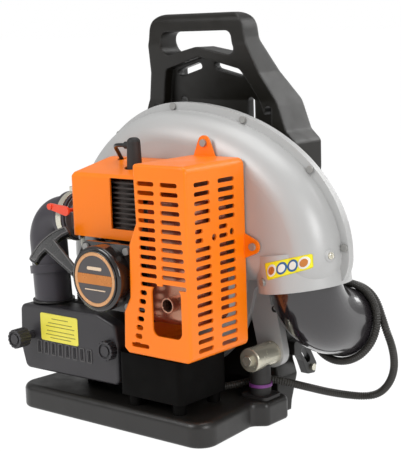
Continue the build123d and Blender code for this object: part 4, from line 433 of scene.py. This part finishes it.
def outline_plate(outline, origin, right, up, thickness):
    """Vertices and faces of a flat plate with an outline in its own plane."""
    out = Vector(right).cross(Vector(up)).normalized()
    near = [Vector(origin) + Vector(right) * x + Vector(up) * y for x, y in outline]
    verts = near + [point + out * thickness for point in near]
    count = len(outline)
    faces = [tuple(range(count)), tuple(range(count, 2 * count))]
    for index in range(count):
        nxt = (index + 1) % count
        faces.append((index, nxt, count + nxt, count + index))
    return verts, faces


def rounded_box(width, height, radius, steps=6):
    """Outline of a rounded rectangle about its middle."""
    outline = []
    for quarter, (sx, sy) in enumerate(((1, 1), (-1, 1), (-1, -1), (1, -1))):
        for step in range(steps + 1):
            angle = math.radians(90 * (quarter + step / steps))
            outline.append((sx * (width / 2 - radius) + radius * math.cos(angle),
                            sy * (height / 2 - radius) + radius * math.sin(angle)))
    return outline


def raised_rim(name, outer, inner, origin, right, up, height, made_of, body, slot):
    """A raised ring between an outline and its inset copy, which have as many points."""
    front = right.cross(up).normalized()
    count = len(outer)
    verts = []
    for outline, lift in ((outer, 0), (outer, height), (inner, height), (inner, 0)):
        verts.extend(origin + right * x + up * y + front * lift for x, y in outline)
    faces = []
    for ring in range(4):
        below = ring * count
        above = (ring + 1) % 4 * count
        for corner in range(count):
            after = (corner + 1) % count
            faces.append((below + corner, below + after, above + after, above + corner))
    return piece(name, verts, faces, made_of, body, slot, smooth=False)


# ---------------------------------------------------------------- control cable
outlet = next(mount for mount in frame["record"]["mounts"] if mount["name"] == "air_outlet")
outlet_axis = Vector(outlet["axis"]).normalized()
# The mouth is half the bore's length past the mount's own point, here in metres.
mouth = Vector(outlet["pos_m"]) + outlet_axis * outlet["dims"]["length_mm"] / 2000
outlet_right = Vector((1, 0, 0))
outlet_up = outlet_right.cross(outlet_axis)
CABLE_R = 0.005
CABLE_ROUTE = [
    mm(-70, -12, 214), mm(-88, -12, 214), mm(-106, -12, 204), mm(-117, -12, 185), mm(-120, -12, 146),
    mm(-120.5, -12, 98), mm(-120, -12, 68), mm(-114, -13, 53), mm(-103, -15, 42), mm(-88, -18, 36.3),
    mm(-60, -24, 36.3), mm(-12, -27, 36.2), mm(40, -16, 36.3), mm(84, 6, 37), mm(106, 28, 40),
    mm(124, 49, 45), mm(150, 55, 48), mm(165, 67, 42.5), mm(176, 90, 33), mm(186, 116, 22.3),
    mm(198, 142, 13.5), mm(214, 160, 9.5), mm(231, 166, 14), mm(246, 165, 28.5), mm(257, 160, 48),
    mm(263.5, 151, 68), mm(265.5, 142, 88), mm(261.218, 136.317, 107.4), mm(253.218, 140.828, 120.502),
]
COIL_LINE_R = 0.0503
FIRST_TURN_BACK = 0.007
TURN_PITCH = 0.0104
COIL_STEP = 22.5
COIL_START = 30.0
COIL_STEPS = 20
# From the last turn to the connector: the angle, the distance behind the mouth and the radius.
COIL_TAIL = ((493, 0.0222, 0.0504), (512, 0.0255, 0.0508), (527, 0.0325, 0.0515), (536, 0.042, 0.0522),
             (540, 0.052, 0.0523), (540, 0.062, 0.0523))
CONNECTOR_AT = (540, 0.0615, 0.0523)
CABLE_SIDES = 14
RIB_STEPS = 3
RIB_DEPTH = 0.0008


def round_outlet(angle, back, radius):
    """A point round the outlet, at an angle, this far behind its mouth."""
    turn = math.radians(angle)
    out = outlet_right * math.cos(turn) + outlet_up * math.sin(turn)
    return mouth - outlet_axis * back + out * radius


coil_points = []
for step in range(COIL_STEPS):
    coil_angle = COIL_START + COIL_STEP * (step + 0.5)
    coil_back = FIRST_TURN_BACK + TURN_PITCH * (coil_angle - COIL_START) / 360
    coil_points.append(round_outlet(coil_angle, coil_back, COIL_LINE_R))
for tail_point in COIL_TAIL:
    coil_points.append(round_outlet(*tail_point))
cable_line, _ = even_steps(spline_line(CABLE_ROUTE + coil_points), LINE_STEP)


def rib(index):
    """The ribbed cable's radius: two steps out, one in."""
    return CABLE_R if index % RIB_STEPS < RIB_STEPS - 1 else CABLE_R - RIB_DEPTH


cable = piece("control_cable", *swept(cable_line, rib, CABLE_SIDES), ribbed, "housing", "conduit",
              smooth=False)
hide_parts("control_conduit", "conduit_coil")
CONNECTOR = [(0.0025, -0.004), (0.0062, -0.004), (0.0068, -0.0032), (0.0068, 0.006), (0.0058, 0.0068),
             (0.0058, 0.011), (0.007, 0.012), (0.007, 0.022), (0.0063, 0.0228), (0.0063, 0.026),
             (0.0048, 0.027), (0.0048, 0.031), (0.0025, 0.032)]
connector = piece("cable_connector",
                  *turned_shape(CONNECTOR, round_outlet(*CONNECTOR_AT), -outlet_axis),
                  rubber, "housing", "rubber_black")
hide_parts("conduit_end")
FERRULE = [(0.0038, 0.0002), (0.0066, 0.0002), (0.0066, 0.008), (0.0061, 0.009), (0.0061, 0.013),
           (0.0056, 0.0145), (0.0038, 0.0145)]
FERRULE_SIDES = 32
piece("cable_ferrule", *turned_shape(FERRULE, CABLE_ROUTE[0], (-1, 0, 0), FERRULE_SIDES), rubber,
      "housing", "rubber_black")

# ---------------------------------------------------------------- ignition lead and fuel hose
LEAD_ROUTE = [
    mm(-0.3, -40, 344), mm(-14, -40, 344), mm(-26, -32, 341), mm(-32, -19, 331), mm(-32, -9, 315),
    mm(-28, -4, 295), mm(-9.85, -2.5, 279.2), mm(-6.23, -2.5, 265.7),
]
HOSE_ROUTE = [
    mm(-53, -49, 218), mm(-53, -49, 199), mm(-52, -46, 174), mm(-48, -40, 152), mm(-40, -33, 140),
    mm(-40, -33, 129),
]
LEAD_R = 0.0025
HOSE_R = 0.003
TUBE_SIDES = 20


def plain_tube(name, route, radius, made_of, slot, replaced):
    """A smooth tube along a route in place of its plain solid, held by the object at both ends."""
    line, length = even_steps(spline_line(route), LINE_STEP)
    tube = piece(name, *swept(line, lambda index: radius, TUBE_SIDES), made_of, "housing", slot)
    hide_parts(replaced)


plain_tube("spark_lead", LEAD_ROUTE, LEAD_R, lead_rubber, "rubber_black", "ignition_lead")
plain_tube("clear_fuel_hose", HOSE_ROUTE, HOSE_R, hose_yellow, "fuel_line", "fuel_hose")

# ---------------------------------------------------------------- starter rope
ROPE_RISE = math.radians(35)
CRANK = mm(13.7, 0, 191.3)
ROPE_PLANE = mm(0, -105, 0)
ROPE_LINE_R = 0.0247
ROPE_IN = 0.002
ROPE_OUT = 0.036
ROPE_STEPS = 40
STRANDS = 3
STRAND_LAY = 0.011
STRAND_OFFSET = 0.00095
STRAND_R = 0.00105
STRAND_SIDES = 8
rope_dir = Vector((-math.cos(ROPE_RISE), 0, math.sin(ROPE_RISE)))
rope_side = Vector((math.sin(ROPE_RISE), 0, math.cos(ROPE_RISE)))
rope_foot = CRANK + ROPE_PLANE - rope_side * ROPE_LINE_R
rope_across = rope_dir.orthogonal().normalized()
rope_verts = []
rope_faces = []
for strand in range(STRANDS):
    strand_line = []
    for step in range(ROPE_STEPS + 1):
        along = ROPE_IN + (ROPE_OUT - ROPE_IN) * step / ROPE_STEPS
        angle = 2 * math.pi * (strand / STRANDS + along / STRAND_LAY)
        out = rope_across * math.cos(angle) + rope_dir.cross(rope_across) * math.sin(angle)
        strand_line.append(rope_foot + rope_dir * along + out * STRAND_OFFSET)
    verts, faces = swept(strand_line, lambda index: STRAND_R, STRAND_SIDES)
    rope_faces.extend(tuple(len(rope_verts) + corner for corner in face) for face in faces)
    rope_verts.extend(verts)
rope = piece("starter_rope", rope_verts, rope_faces, cord_yarn, None, "rope")
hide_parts("rope_end")
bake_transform(rope)

# ---------------------------------------------------------------- starter grip's raised outline
GRIP_TURN = math.radians(41)
GRIP_HALF_T = 0.006
GRIP_REACH = 0.09
BAR_TOP_R = 0.06406
BAR_TOP_Y = 0.011
# The crowned top starts this far in from the outline's first corner.
CROWN_INSET = 0.002
CROWN_STEPS = 8
# How far in from the grip's edge the rim's two sides stand, in millimetres.
GRIP_RIM_OUTER = 1.9
GRIP_RIM_INNER = 3.1
GRIP_RIM_H = 0.0009
RIM_SINK = 0.0001
bar_dir = rope_side * math.cos(GRIP_TURN) + Vector((0, 1, 0)) * math.sin(GRIP_TURN)
grip_front = bar_dir.cross(rope_dir).normalized()
grip_middle = rope_foot + rope_dir * GRIP_REACH + grip_front * (GRIP_HALF_T - RIM_SINK)
# The corners of the outline's right side in millimetres, each with its way inward.
GRIP_CORNERS = [((31, 3), (-1.1, -0.4)), ((29, -9), (-0.9, 1.5)), ((20, -5), (0, 1)), ((9, -4), (-0.8, 1)),
                ((5.5, -54), (-1, 1))]


def grip_outline(inset):
    """The T grip's outline round its front face, moved inward by inset millimetres."""
    right_side = [((x + inward_x * inset) / 1000, (y + inward_y * inset) / 1000)
                  for (x, y), (inward_x, inward_y) in GRIP_CORNERS]
    left_side = [(-x, y) for x, y in reversed(right_side)]
    reach = right_side[0][0] - CROWN_INSET
    radius = BAR_TOP_R - inset / 1000
    crown = []
    for step in range(-CROWN_STEPS, CROWN_STEPS + 1):
        x = reach * step / CROWN_STEPS
        crown.append((x, BAR_TOP_Y - BAR_TOP_R + math.sqrt(radius ** 2 - x ** 2)))
    return crown + right_side + left_side


raised_rim("grip_rim", grip_outline(GRIP_RIM_OUTER), grip_outline(GRIP_RIM_INNER), grip_middle, bar_dir,
           rope_dir, GRIP_RIM_H, rim_grey, "pull_handle", "black_plastic")

# ---------------------------------------------------------------- back pad
pad_low, pad_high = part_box("back_pad")
PAD_COLUMNS = 64
PAD_ROWS = 84
PAD_BEND_Z = 0.300
PAD_FOOT_Y = 0.125
PAD_FOOT_Z = 0.105
PAD_TOP_Y = 0.154
PAD_FILL = 0.0255
PAD_EDGE_T = 0.0012
PAD_SHRINK = 0.985
PAD_MERGE = 0.00005
# The pad narrows by this share towards its top.
PAD_TAPER = 0.12
# How far the pad's sides and ends pull in, as a share, at their middles and at the corners.
SIDE_PULL, SIDE_CORNER_PULL = 0.03, 0.05
END_PULL, END_CORNER_PULL = 0.02, 0.03
CORNER_POWER = 8
CROWN_POWER_ACROSS, CROWN_POWER_UP = 5, 6
# Sewn channels: two down the pad and three across its middle part.
SEAMS_DOWN, SEAM_DOWN_DEPTH, SEAM_DOWN_W = (-0.36, 0.36), 0.42, 0.035
SEAMS_ACROSS, SEAM_ACROSS_DEPTH, SEAM_ACROSS_W = (-0.45, 0.05, 0.55), 0.34, 0.028
SEAM_FLOOR = 0.25
SWELL_MEAN, SWELL_SIZE = 0.93, 0.07
SWELL_WAVE_U, SWELL_WAVE_V = 8.7, 6.1


def pad_seat(z):
    """The Y of the panel face that the pad lies on at a height."""
    share = min(1.0, (z - PAD_FOOT_Z) / (PAD_BEND_Z - PAD_FOOT_Z))
    return PAD_FOOT_Y + (PAD_TOP_Y - PAD_FOOT_Y) * share


def pad_point(u, v, skin):
    """A point of the pad's flat face (skin 0) or of its crowned face (skin 1), for u and v from -1 to 1."""
    half_w = (pad_high.x - pad_low.x) / 2 * PAD_SHRINK
    half_h = (pad_high.z - pad_low.z) / 2 * PAD_SHRINK
    pull = 1 - SIDE_PULL * (1 - abs(v) ** 2) - SIDE_CORNER_PULL * abs(v) ** CORNER_POWER
    squeeze = 1 - END_PULL * (1 - abs(u) ** 2) - END_CORNER_PULL * abs(u) ** CORNER_POWER
    x = u * half_w * pull
    if v > 0:
        x *= 1 - PAD_TAPER * v ** 4
    z = (pad_low.z + pad_high.z) / 2 + v * half_h * squeeze
    crown = max(0.0, 1 - abs(u) ** CROWN_POWER_ACROSS) ** 0.5 * max(0.0, 1 - abs(v) ** CROWN_POWER_UP) ** 0.5
    seam = 1.0
    for line in SEAMS_DOWN:
        seam -= SEAM_DOWN_DEPTH * math.exp(-((u - line) / SEAM_DOWN_W) ** 2)
    if abs(u) < SEAMS_DOWN[1]:
        for line in SEAMS_ACROSS:
            seam -= SEAM_ACROSS_DEPTH * math.exp(-((v - line) / SEAM_ACROSS_W) ** 2)
    swell = SWELL_MEAN + SWELL_SIZE * math.cos(u * SWELL_WAVE_U) * math.cos(v * SWELL_WAVE_V)
    depth = PAD_EDGE_T + skin * (PAD_FILL - PAD_EDGE_T) * crown * max(SEAM_FLOOR, seam) * swell
    return Vector((x, pad_seat(z) + depth, z))


pad_verts = []
pad_faces = []
for skin in (0, 1):
    for row in range(PAD_ROWS + 1):
        for column in range(PAD_COLUMNS + 1):
            pad_verts.append(pad_point(2 * column / PAD_COLUMNS - 1, 2 * row / PAD_ROWS - 1, skin))
sheet_size = (PAD_ROWS + 1) * (PAD_COLUMNS + 1)
for skin in (0, 1):
    for row in range(PAD_ROWS):
        for column in range(PAD_COLUMNS):
            first = skin * sheet_size + row * (PAD_COLUMNS + 1) + column
            pad_faces.append((first, first + 1, first + PAD_COLUMNS + 2, first + PAD_COLUMNS + 1))
pad = piece("back_cushion", pad_verts, pad_faces, cloth, None, "pad_cloth")
# The two skins meet all round, so merging their edges closes the pad.
shape = bmesh.new()
shape.from_mesh(pad.data)
bmesh.ops.remove_doubles(shape, verts=shape.verts, dist=PAD_MERGE)
bmesh.ops.recalc_face_normals(shape, faces=shape.faces)
shape.to_mesh(pad.data)
shape.free()
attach(pad, "housing")
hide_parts("back_pad")


# ---------------------------------------------------------------- foils laid on the mouldings
RAY_BACK = 0.03
# A foil's thickness as a share of how far it is lifted off its surface.
FOIL_SHARE = 0.8
CORNER_SHARPNESS, EDGE_SHARPNESS = 10, 4


def tree_of(*names):
    """The named nodes' surface, for laying foils on it."""
    verts = []
    faces = []
    for name in names:
        mesh = nodes[name].data
        faces.extend(tuple(len(verts) + corner for corner in face.vertices) for face in mesh.polygons)
        verts.extend(vertex.co.copy() for vertex in mesh.vertices)
    return BVHTree.FromPolygons(verts, faces)


def laid(surface, point, towards, lift):
    """The place where a point lands on a surface, lifted off it."""
    hit, _, _, _ = surface.ray_cast(point - towards * RAY_BACK, towards)
    if hit is None:
        raise ValueError(f"a foil misses its surface at {tuple(point)}")
    return hit - towards * lift


def foil(name, surface, grid, towards, lift, made_of):
    """A thin closed badge foil over a grid of points that is laid on a surface of the housing."""
    rows = len(grid)
    columns = len(grid[0])
    top = [laid(surface, point, towards, lift) for row in grid for point in row]
    verts = top + [point + towards * (lift * FOIL_SHARE) for point in top]
    faces = []
    count = rows * columns
    for row in range(rows - 1):
        for column in range(columns - 1):
            first = row * columns + column
            square = (first, first + 1, first + columns + 1, first + columns)
            faces.append(square)
            faces.append(tuple(count + corner for corner in reversed(square)))
    rim = list(range(columns))
    rim += [row * columns + columns - 1 for row in range(1, rows)]
    rim += [(rows - 1) * columns + column for column in range(columns - 2, -1, -1)]
    rim += [row * columns for row in range(rows - 2, 0, -1)]
    for index, corner in enumerate(rim):
        nxt = rim[(index + 1) % len(rim)]
        faces.append((corner, nxt, count + nxt, count + corner))
    return piece(name, verts, faces, made_of, "housing", "badge")


def square_grid(corners, rows, columns, rounding):
    """Points over the four corners, from lower left round to upper left, which are a little rounded."""
    grid = []
    for row in range(rows):
        line = []
        for column in range(columns):
            u = 2 * column / (columns - 1) - 1
            v = 2 * row / (rows - 1) - 1
            u *= 1 - rounding * abs(v) ** CORNER_SHARPNESS * abs(u) ** EDGE_SHARPNESS
            v *= 1 - rounding * abs(u) ** CORNER_SHARPNESS * abs(v) ** EDGE_SHARPNESS
            low = corners[0].lerp(corners[1], (u + 1) / 2)
            high = corners[3].lerp(corners[2], (u + 1) / 2)
            line.append(low.lerp(high, (v + 1) / 2))
        grid.append(line)
    return grid


def disc_grid(centre, right, up, radius, count):
    """A square grid of points pressed into a disc."""
    grid = []
    for row in range(count):
        line = []
        for column in range(count):
            u = 2 * column / (count - 1) - 1
            v = 2 * row / (count - 1) - 1
            x = u * math.sqrt(1 - v * v / 2)
            y = v * math.sqrt(1 - u * u / 2)
            line.append(centre + right * x * radius + up * y * radius)
        grid.append(line)
    return grid


INWARD = Vector((0, 1, 0))
RIGHT = Vector((1, 0, 0))
UP = Vector((0, 0, 1))
shell_surface = tree_of("volute_front", "volute_rear")
label_corners = [mm(181.5, -1, 187), mm(240, -1, 206.5), mm(239.5, -1, 223.5), mm(178, -1, 207.5)]
LABEL_ROWS, LABEL_COLUMNS, LABEL_ROUNDING = 16, 56, 0.05
FOIL_T = 0.0004
SPOT_SHARES = (0.16, 0.39, 0.62, 0.85)
SPOT_R, SPOT_LIFT, SPOT_POINTS = 0.0072, 0.0008, 15
DOT_R, DOT_LIFT, DOT_POINTS = 0.0048, 0.0012, 11
label_grid = square_grid(label_corners, LABEL_ROWS, LABEL_COLUMNS, LABEL_ROUNDING)
foil("collar_foil", shell_surface, label_grid, INWARD, FOIL_T, lemon_foil)
label_right = (label_corners[1] - label_corners[0]).normalized()
for index, share in enumerate(SPOT_SHARES):
    low = label_corners[0].lerp(label_corners[1], share)
    high = label_corners[3].lerp(label_corners[2], share)
    spot = low.lerp(high, 0.5)
    spot_ink, dot_ink = (blue_ink, white_ink) if index in (1, 2) else (white_ink, bronze_deep)
    foil(f"collar_spot_{index}", shell_surface, disc_grid(spot, label_right, UP, SPOT_R, SPOT_POINTS),
         INWARD, SPOT_LIFT, spot_ink)
    foil(f"collar_dot_{index}", shell_surface, disc_grid(spot, label_right, UP, DOT_R, DOT_POINTS),
         INWARD, DOT_LIFT, dot_ink)

# The filter cover's plain yellow foil with ruled lines.
COVER_FOIL_W, COVER_FOIL_H, COVER_FOIL_R = 0.068, 0.0362, 0.003
RULE_SHIFT, RULE_W, RULE_R, RULE_T = 0.002, 0.0011, 0.0005, 0.0001
# Each ruled line's height from the foil's middle, and its length.
RULES = ((0.0118, 0.03), (0.0062, 0.044), (0.0018, 0.052), (-0.0042, 0.05), (-0.0092, 0.054),
         (-0.0132, 0.038))
cover_face_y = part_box("filter_cover")[0].y
foil_middle = Vector((-0.090, cover_face_y, 0.1088))
foil_outline = rounded_box(COVER_FOIL_W, COVER_FOIL_H, COVER_FOIL_R)
piece("cover_foil", *outline_plate(foil_outline, foil_middle, RIGHT, UP, FOIL_T), yellow_foil, "cover",
      "badge", smooth=False)
for index, (rule_z, rule_length) in enumerate(RULES):
    rule_at = foil_middle + Vector((RULE_SHIFT, -FOIL_T, rule_z))
    rule_outline = rounded_box(rule_length, RULE_W, RULE_R, steps=3)
    piece(f"cover_rule_{index}", *outline_plate(rule_outline, rule_at, RIGHT, UP, RULE_T), grey_ink,
          "cover", "badge", smooth=False)

# Raised rims round the filter cover's louvres.
LOUVRES = 8
LOUVRE_PITCH = 0.013
LOUVRE_W = 0.0086
LOUVRE_H = 0.0178
LOUVRE_R = 0.0018
FIRST_LOUVRE_X = -0.128
LOUVRE_Z = 0.0808
RIM_W = 0.0011
RIM_INNER_R = 0.0010
RIM_H = 0.0008
rim_outer = rounded_box(LOUVRE_W, LOUVRE_H, LOUVRE_R)
rim_inner = rounded_box(LOUVRE_W - 2 * RIM_W, LOUVRE_H - 2 * RIM_W, RIM_INNER_R)
for index in range(LOUVRES):
    middle = Vector((FIRST_LOUVRE_X + LOUVRE_PITCH * index, cover_face_y + RIM_SINK, LOUVRE_Z))
    raised_rim(f"louvre_rim_{index}", rim_outer, rim_inner, middle, RIGHT, UP, RIM_H, rim_grey, "cover",
               "dark_plastic")

# A cast boss with a screw at the collar's right-hand end.
BOSS_PAST_LABEL = 0.012
boss_aim = label_corners[1].lerp(label_corners[2], 0.5) + label_right * BOSS_PAST_LABEL
boss_seat, boss_normal, _, _ = shell_surface.ray_cast(boss_aim - INWARD * RAY_BACK, INWARD)
BOSS = [(0.0003, -0.003), (0.0078, -0.003), (0.0072, 0.0014), (0.0003, 0.0014)]
piece("collar_boss", *turned_shape(BOSS, boss_seat, boss_normal), shell_grey, "housing", "grey_shell")
BOSS_SCREW = [(0.0003, 0.0013), (0.0042, 0.0013), (0.0042, 0.0026), (0.0034, 0.0036), (0.0016, 0.0038),
              (0.0013, 0.0026), (0.0003, 0.0026)]
SCREW_SIDES = 24
piece("collar_boss_screw", *turned_shape(BOSS_SCREW, boss_seat, boss_normal, SCREW_SIDES), bright,
      "housing", "bright_steel")

# ---------------------------------------------------------------- starter badge
badge_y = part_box("starter_badge")[0].y
badge_middle = Vector((CRANK.x, badge_y, CRANK.z))
FACING = Vector((0, -1, 0))
BADGE_SIDES = 96
RING = [(0.0288, 0), (0.0332, 0), (0.0332, 0.0004), (0.0328, 0.0006), (0.0292, 0.0006), (0.0288, 0.0004)]
piece("badge_ring", *turned_shape(RING, badge_middle, FACING, BADGE_SIDES), bronze, "housing", "badge")
BEZEL = [(0.0334, -0.0004), (0.0352, -0.0004), (0.0352, 0.0006), (0.0346, 0.0010), (0.0338, 0.0009)]
piece("badge_bezel", *turned_shape(BEZEL, badge_middle, FACING, BADGE_SIDES), starter_black, "housing",
      "badge")
STRIPE_R = 0.0286
STRIPE_HALF_H = 0.0062
STRIPE_STEPS = 4
stripe_outline = []
for hand in (1, -1):
    for step in range(-STRIPE_STEPS, STRIPE_STEPS + 1):
        height = hand * STRIPE_HALF_H * step / STRIPE_STEPS
        stripe_outline.append((hand * math.sqrt(STRIPE_R ** 2 - height ** 2), height))
piece("badge_stripe", *outline_plate(stripe_outline, badge_middle, RIGHT, UP, FOIL_T), bronze_deep,
      "housing", "badge", smooth=False)
# Each plain bar's name, height above the badge's middle, width and height.
BARS = (("upper", 0.0132, 0.024, 0.0042), ("lower", -0.0128, 0.034, 0.0014))
BAR_ROUNDNESS = 2.2
for name, offset, width, height in BARS:
    bar_outline = rounded_box(width, height, height / BAR_ROUNDNESS, steps=4)
    piece(f"badge_bar_{name}", *outline_plate(bar_outline, badge_middle + UP * offset, RIGHT, UP, FOIL_T),
          pale_mark, "housing", "badge", smooth=False)

# ---------------------------------------------------------------- set
FLOOR_HALF = 80.0
FLOOR_DROP = 0.0002
FLOOR_COLOUR = (0.9, 0.9, 0.9, 1)
WHITE = (1, 1, 1, 1)
GLOW_STRENGTH = 1.08
GLOW_SHARE = 0.9
SKY_LIGHT = 0.42
SKY_SEEN = 1.0
LAMPS_FACE = Vector((0, 0, 0.2))


def white_when_seen():
    """A white diffuse floor that looks mostly self-lit to the camera and in reflections."""
    made = bpy.data.materials.new("floor_white")
    made.use_nodes = True
    tree = made.node_tree
    tree.nodes.clear()
    output = tree.nodes.new("ShaderNodeOutputMaterial")
    diffuse = tree.nodes.new("ShaderNodeBsdfDiffuse")
    diffuse.inputs["Color"].default_value = FLOOR_COLOUR
    glow = tree.nodes.new("ShaderNodeEmission")
    glow.inputs["Color"].default_value = WHITE
    glow.inputs["Strength"].default_value = GLOW_STRENGTH
    path = tree.nodes.new("ShaderNodeLightPath")
    seen = tree.nodes.new("ShaderNodeMath")
    seen.operation = "MAXIMUM"
    tree.links.new(path.outputs["Is Camera Ray"], seen.inputs[0])
    tree.links.new(path.outputs["Is Glossy Ray"], seen.inputs[1])
    share = tree.nodes.new("ShaderNodeMath")
    share.operation = "MULTIPLY"
    share.inputs[1].default_value = GLOW_SHARE
    tree.links.new(seen.outputs["Value"], share.inputs[0])
    mix = tree.nodes.new("ShaderNodeMixShader")
    tree.links.new(share.outputs["Value"], mix.inputs["Fac"])
    tree.links.new(diffuse.outputs["BSDF"], mix.inputs[1])
    tree.links.new(glow.outputs["Emission"], mix.inputs[2])
    tree.links.new(mix.outputs["Shader"], output.inputs["Surface"])
    return made


floor_mesh = bpy.data.meshes.new("floor")
floor_corners = [(FLOOR_HALF * x, FLOOR_HALF * y, 0) for x, y in ((-1, -1), (1, -1), (1, 1), (-1, 1))]
floor_mesh.from_pydata(floor_corners, [], [(0, 1, 2, 3)])
floor_mesh.materials.append(white_when_seen())
floor = bpy.data.objects.new("floor", floor_mesh)
floor.location = (0, 0, cad_bounds[0].z - FLOOR_DROP)
scene.collection.objects.link(floor)

world = bpy.data.worlds.new("studio")
world.use_nodes = True
scene.world = world
sky = world.node_tree
sky.nodes.clear()
sky_out = sky.nodes.new("ShaderNodeOutputWorld")
dim = sky.nodes.new("ShaderNodeBackground")
dim.inputs["Color"].default_value = WHITE
dim.inputs["Strength"].default_value = SKY_LIGHT
white = sky.nodes.new("ShaderNodeBackground")
white.inputs["Color"].default_value = WHITE
white.inputs["Strength"].default_value = SKY_SEEN
sky_path = sky.nodes.new("ShaderNodeLightPath")
sky_mix = sky.nodes.new("ShaderNodeMixShader")
either = sky.nodes.new("ShaderNodeMath")
either.operation = "MAXIMUM"
sky.links.new(sky_path.outputs["Is Camera Ray"], either.inputs[0])
sky.links.new(sky_path.outputs["Is Transmission Ray"], either.inputs[1])
sky.links.new(either.outputs["Value"], sky_mix.inputs["Fac"])
sky.links.new(dim.outputs["Background"], sky_mix.inputs[1])
sky.links.new(white.outputs["Background"], sky_mix.inputs[2])
sky.links.new(sky_mix.outputs["Shader"], sky_out.inputs["Surface"])


def lamp(name, place, size, power):
    """A soft square lamp that faces the object."""
    data = bpy.data.lights.new(name, "AREA")
    data.shape = "SQUARE"
    data.size = size
    data.energy = power
    made = bpy.data.objects.new(name, data)
    made.location = place
    made.rotation_euler = (LAMPS_FACE - Vector(place)).to_track_quat("-Z", "Y").to_euler()
    scene.collection.objects.link(made)


lamp("key", (-0.7, -1.7, 1.5), 1.0, 22)
lamp("side", (1.9, -0.5, 0.9), 0.9, 16)
lamp("top", (0.1, 0.3, 1.9), 1.2, 12)
lamp("rear", (0.6, 1.7, 1.0), 1.0, 12)
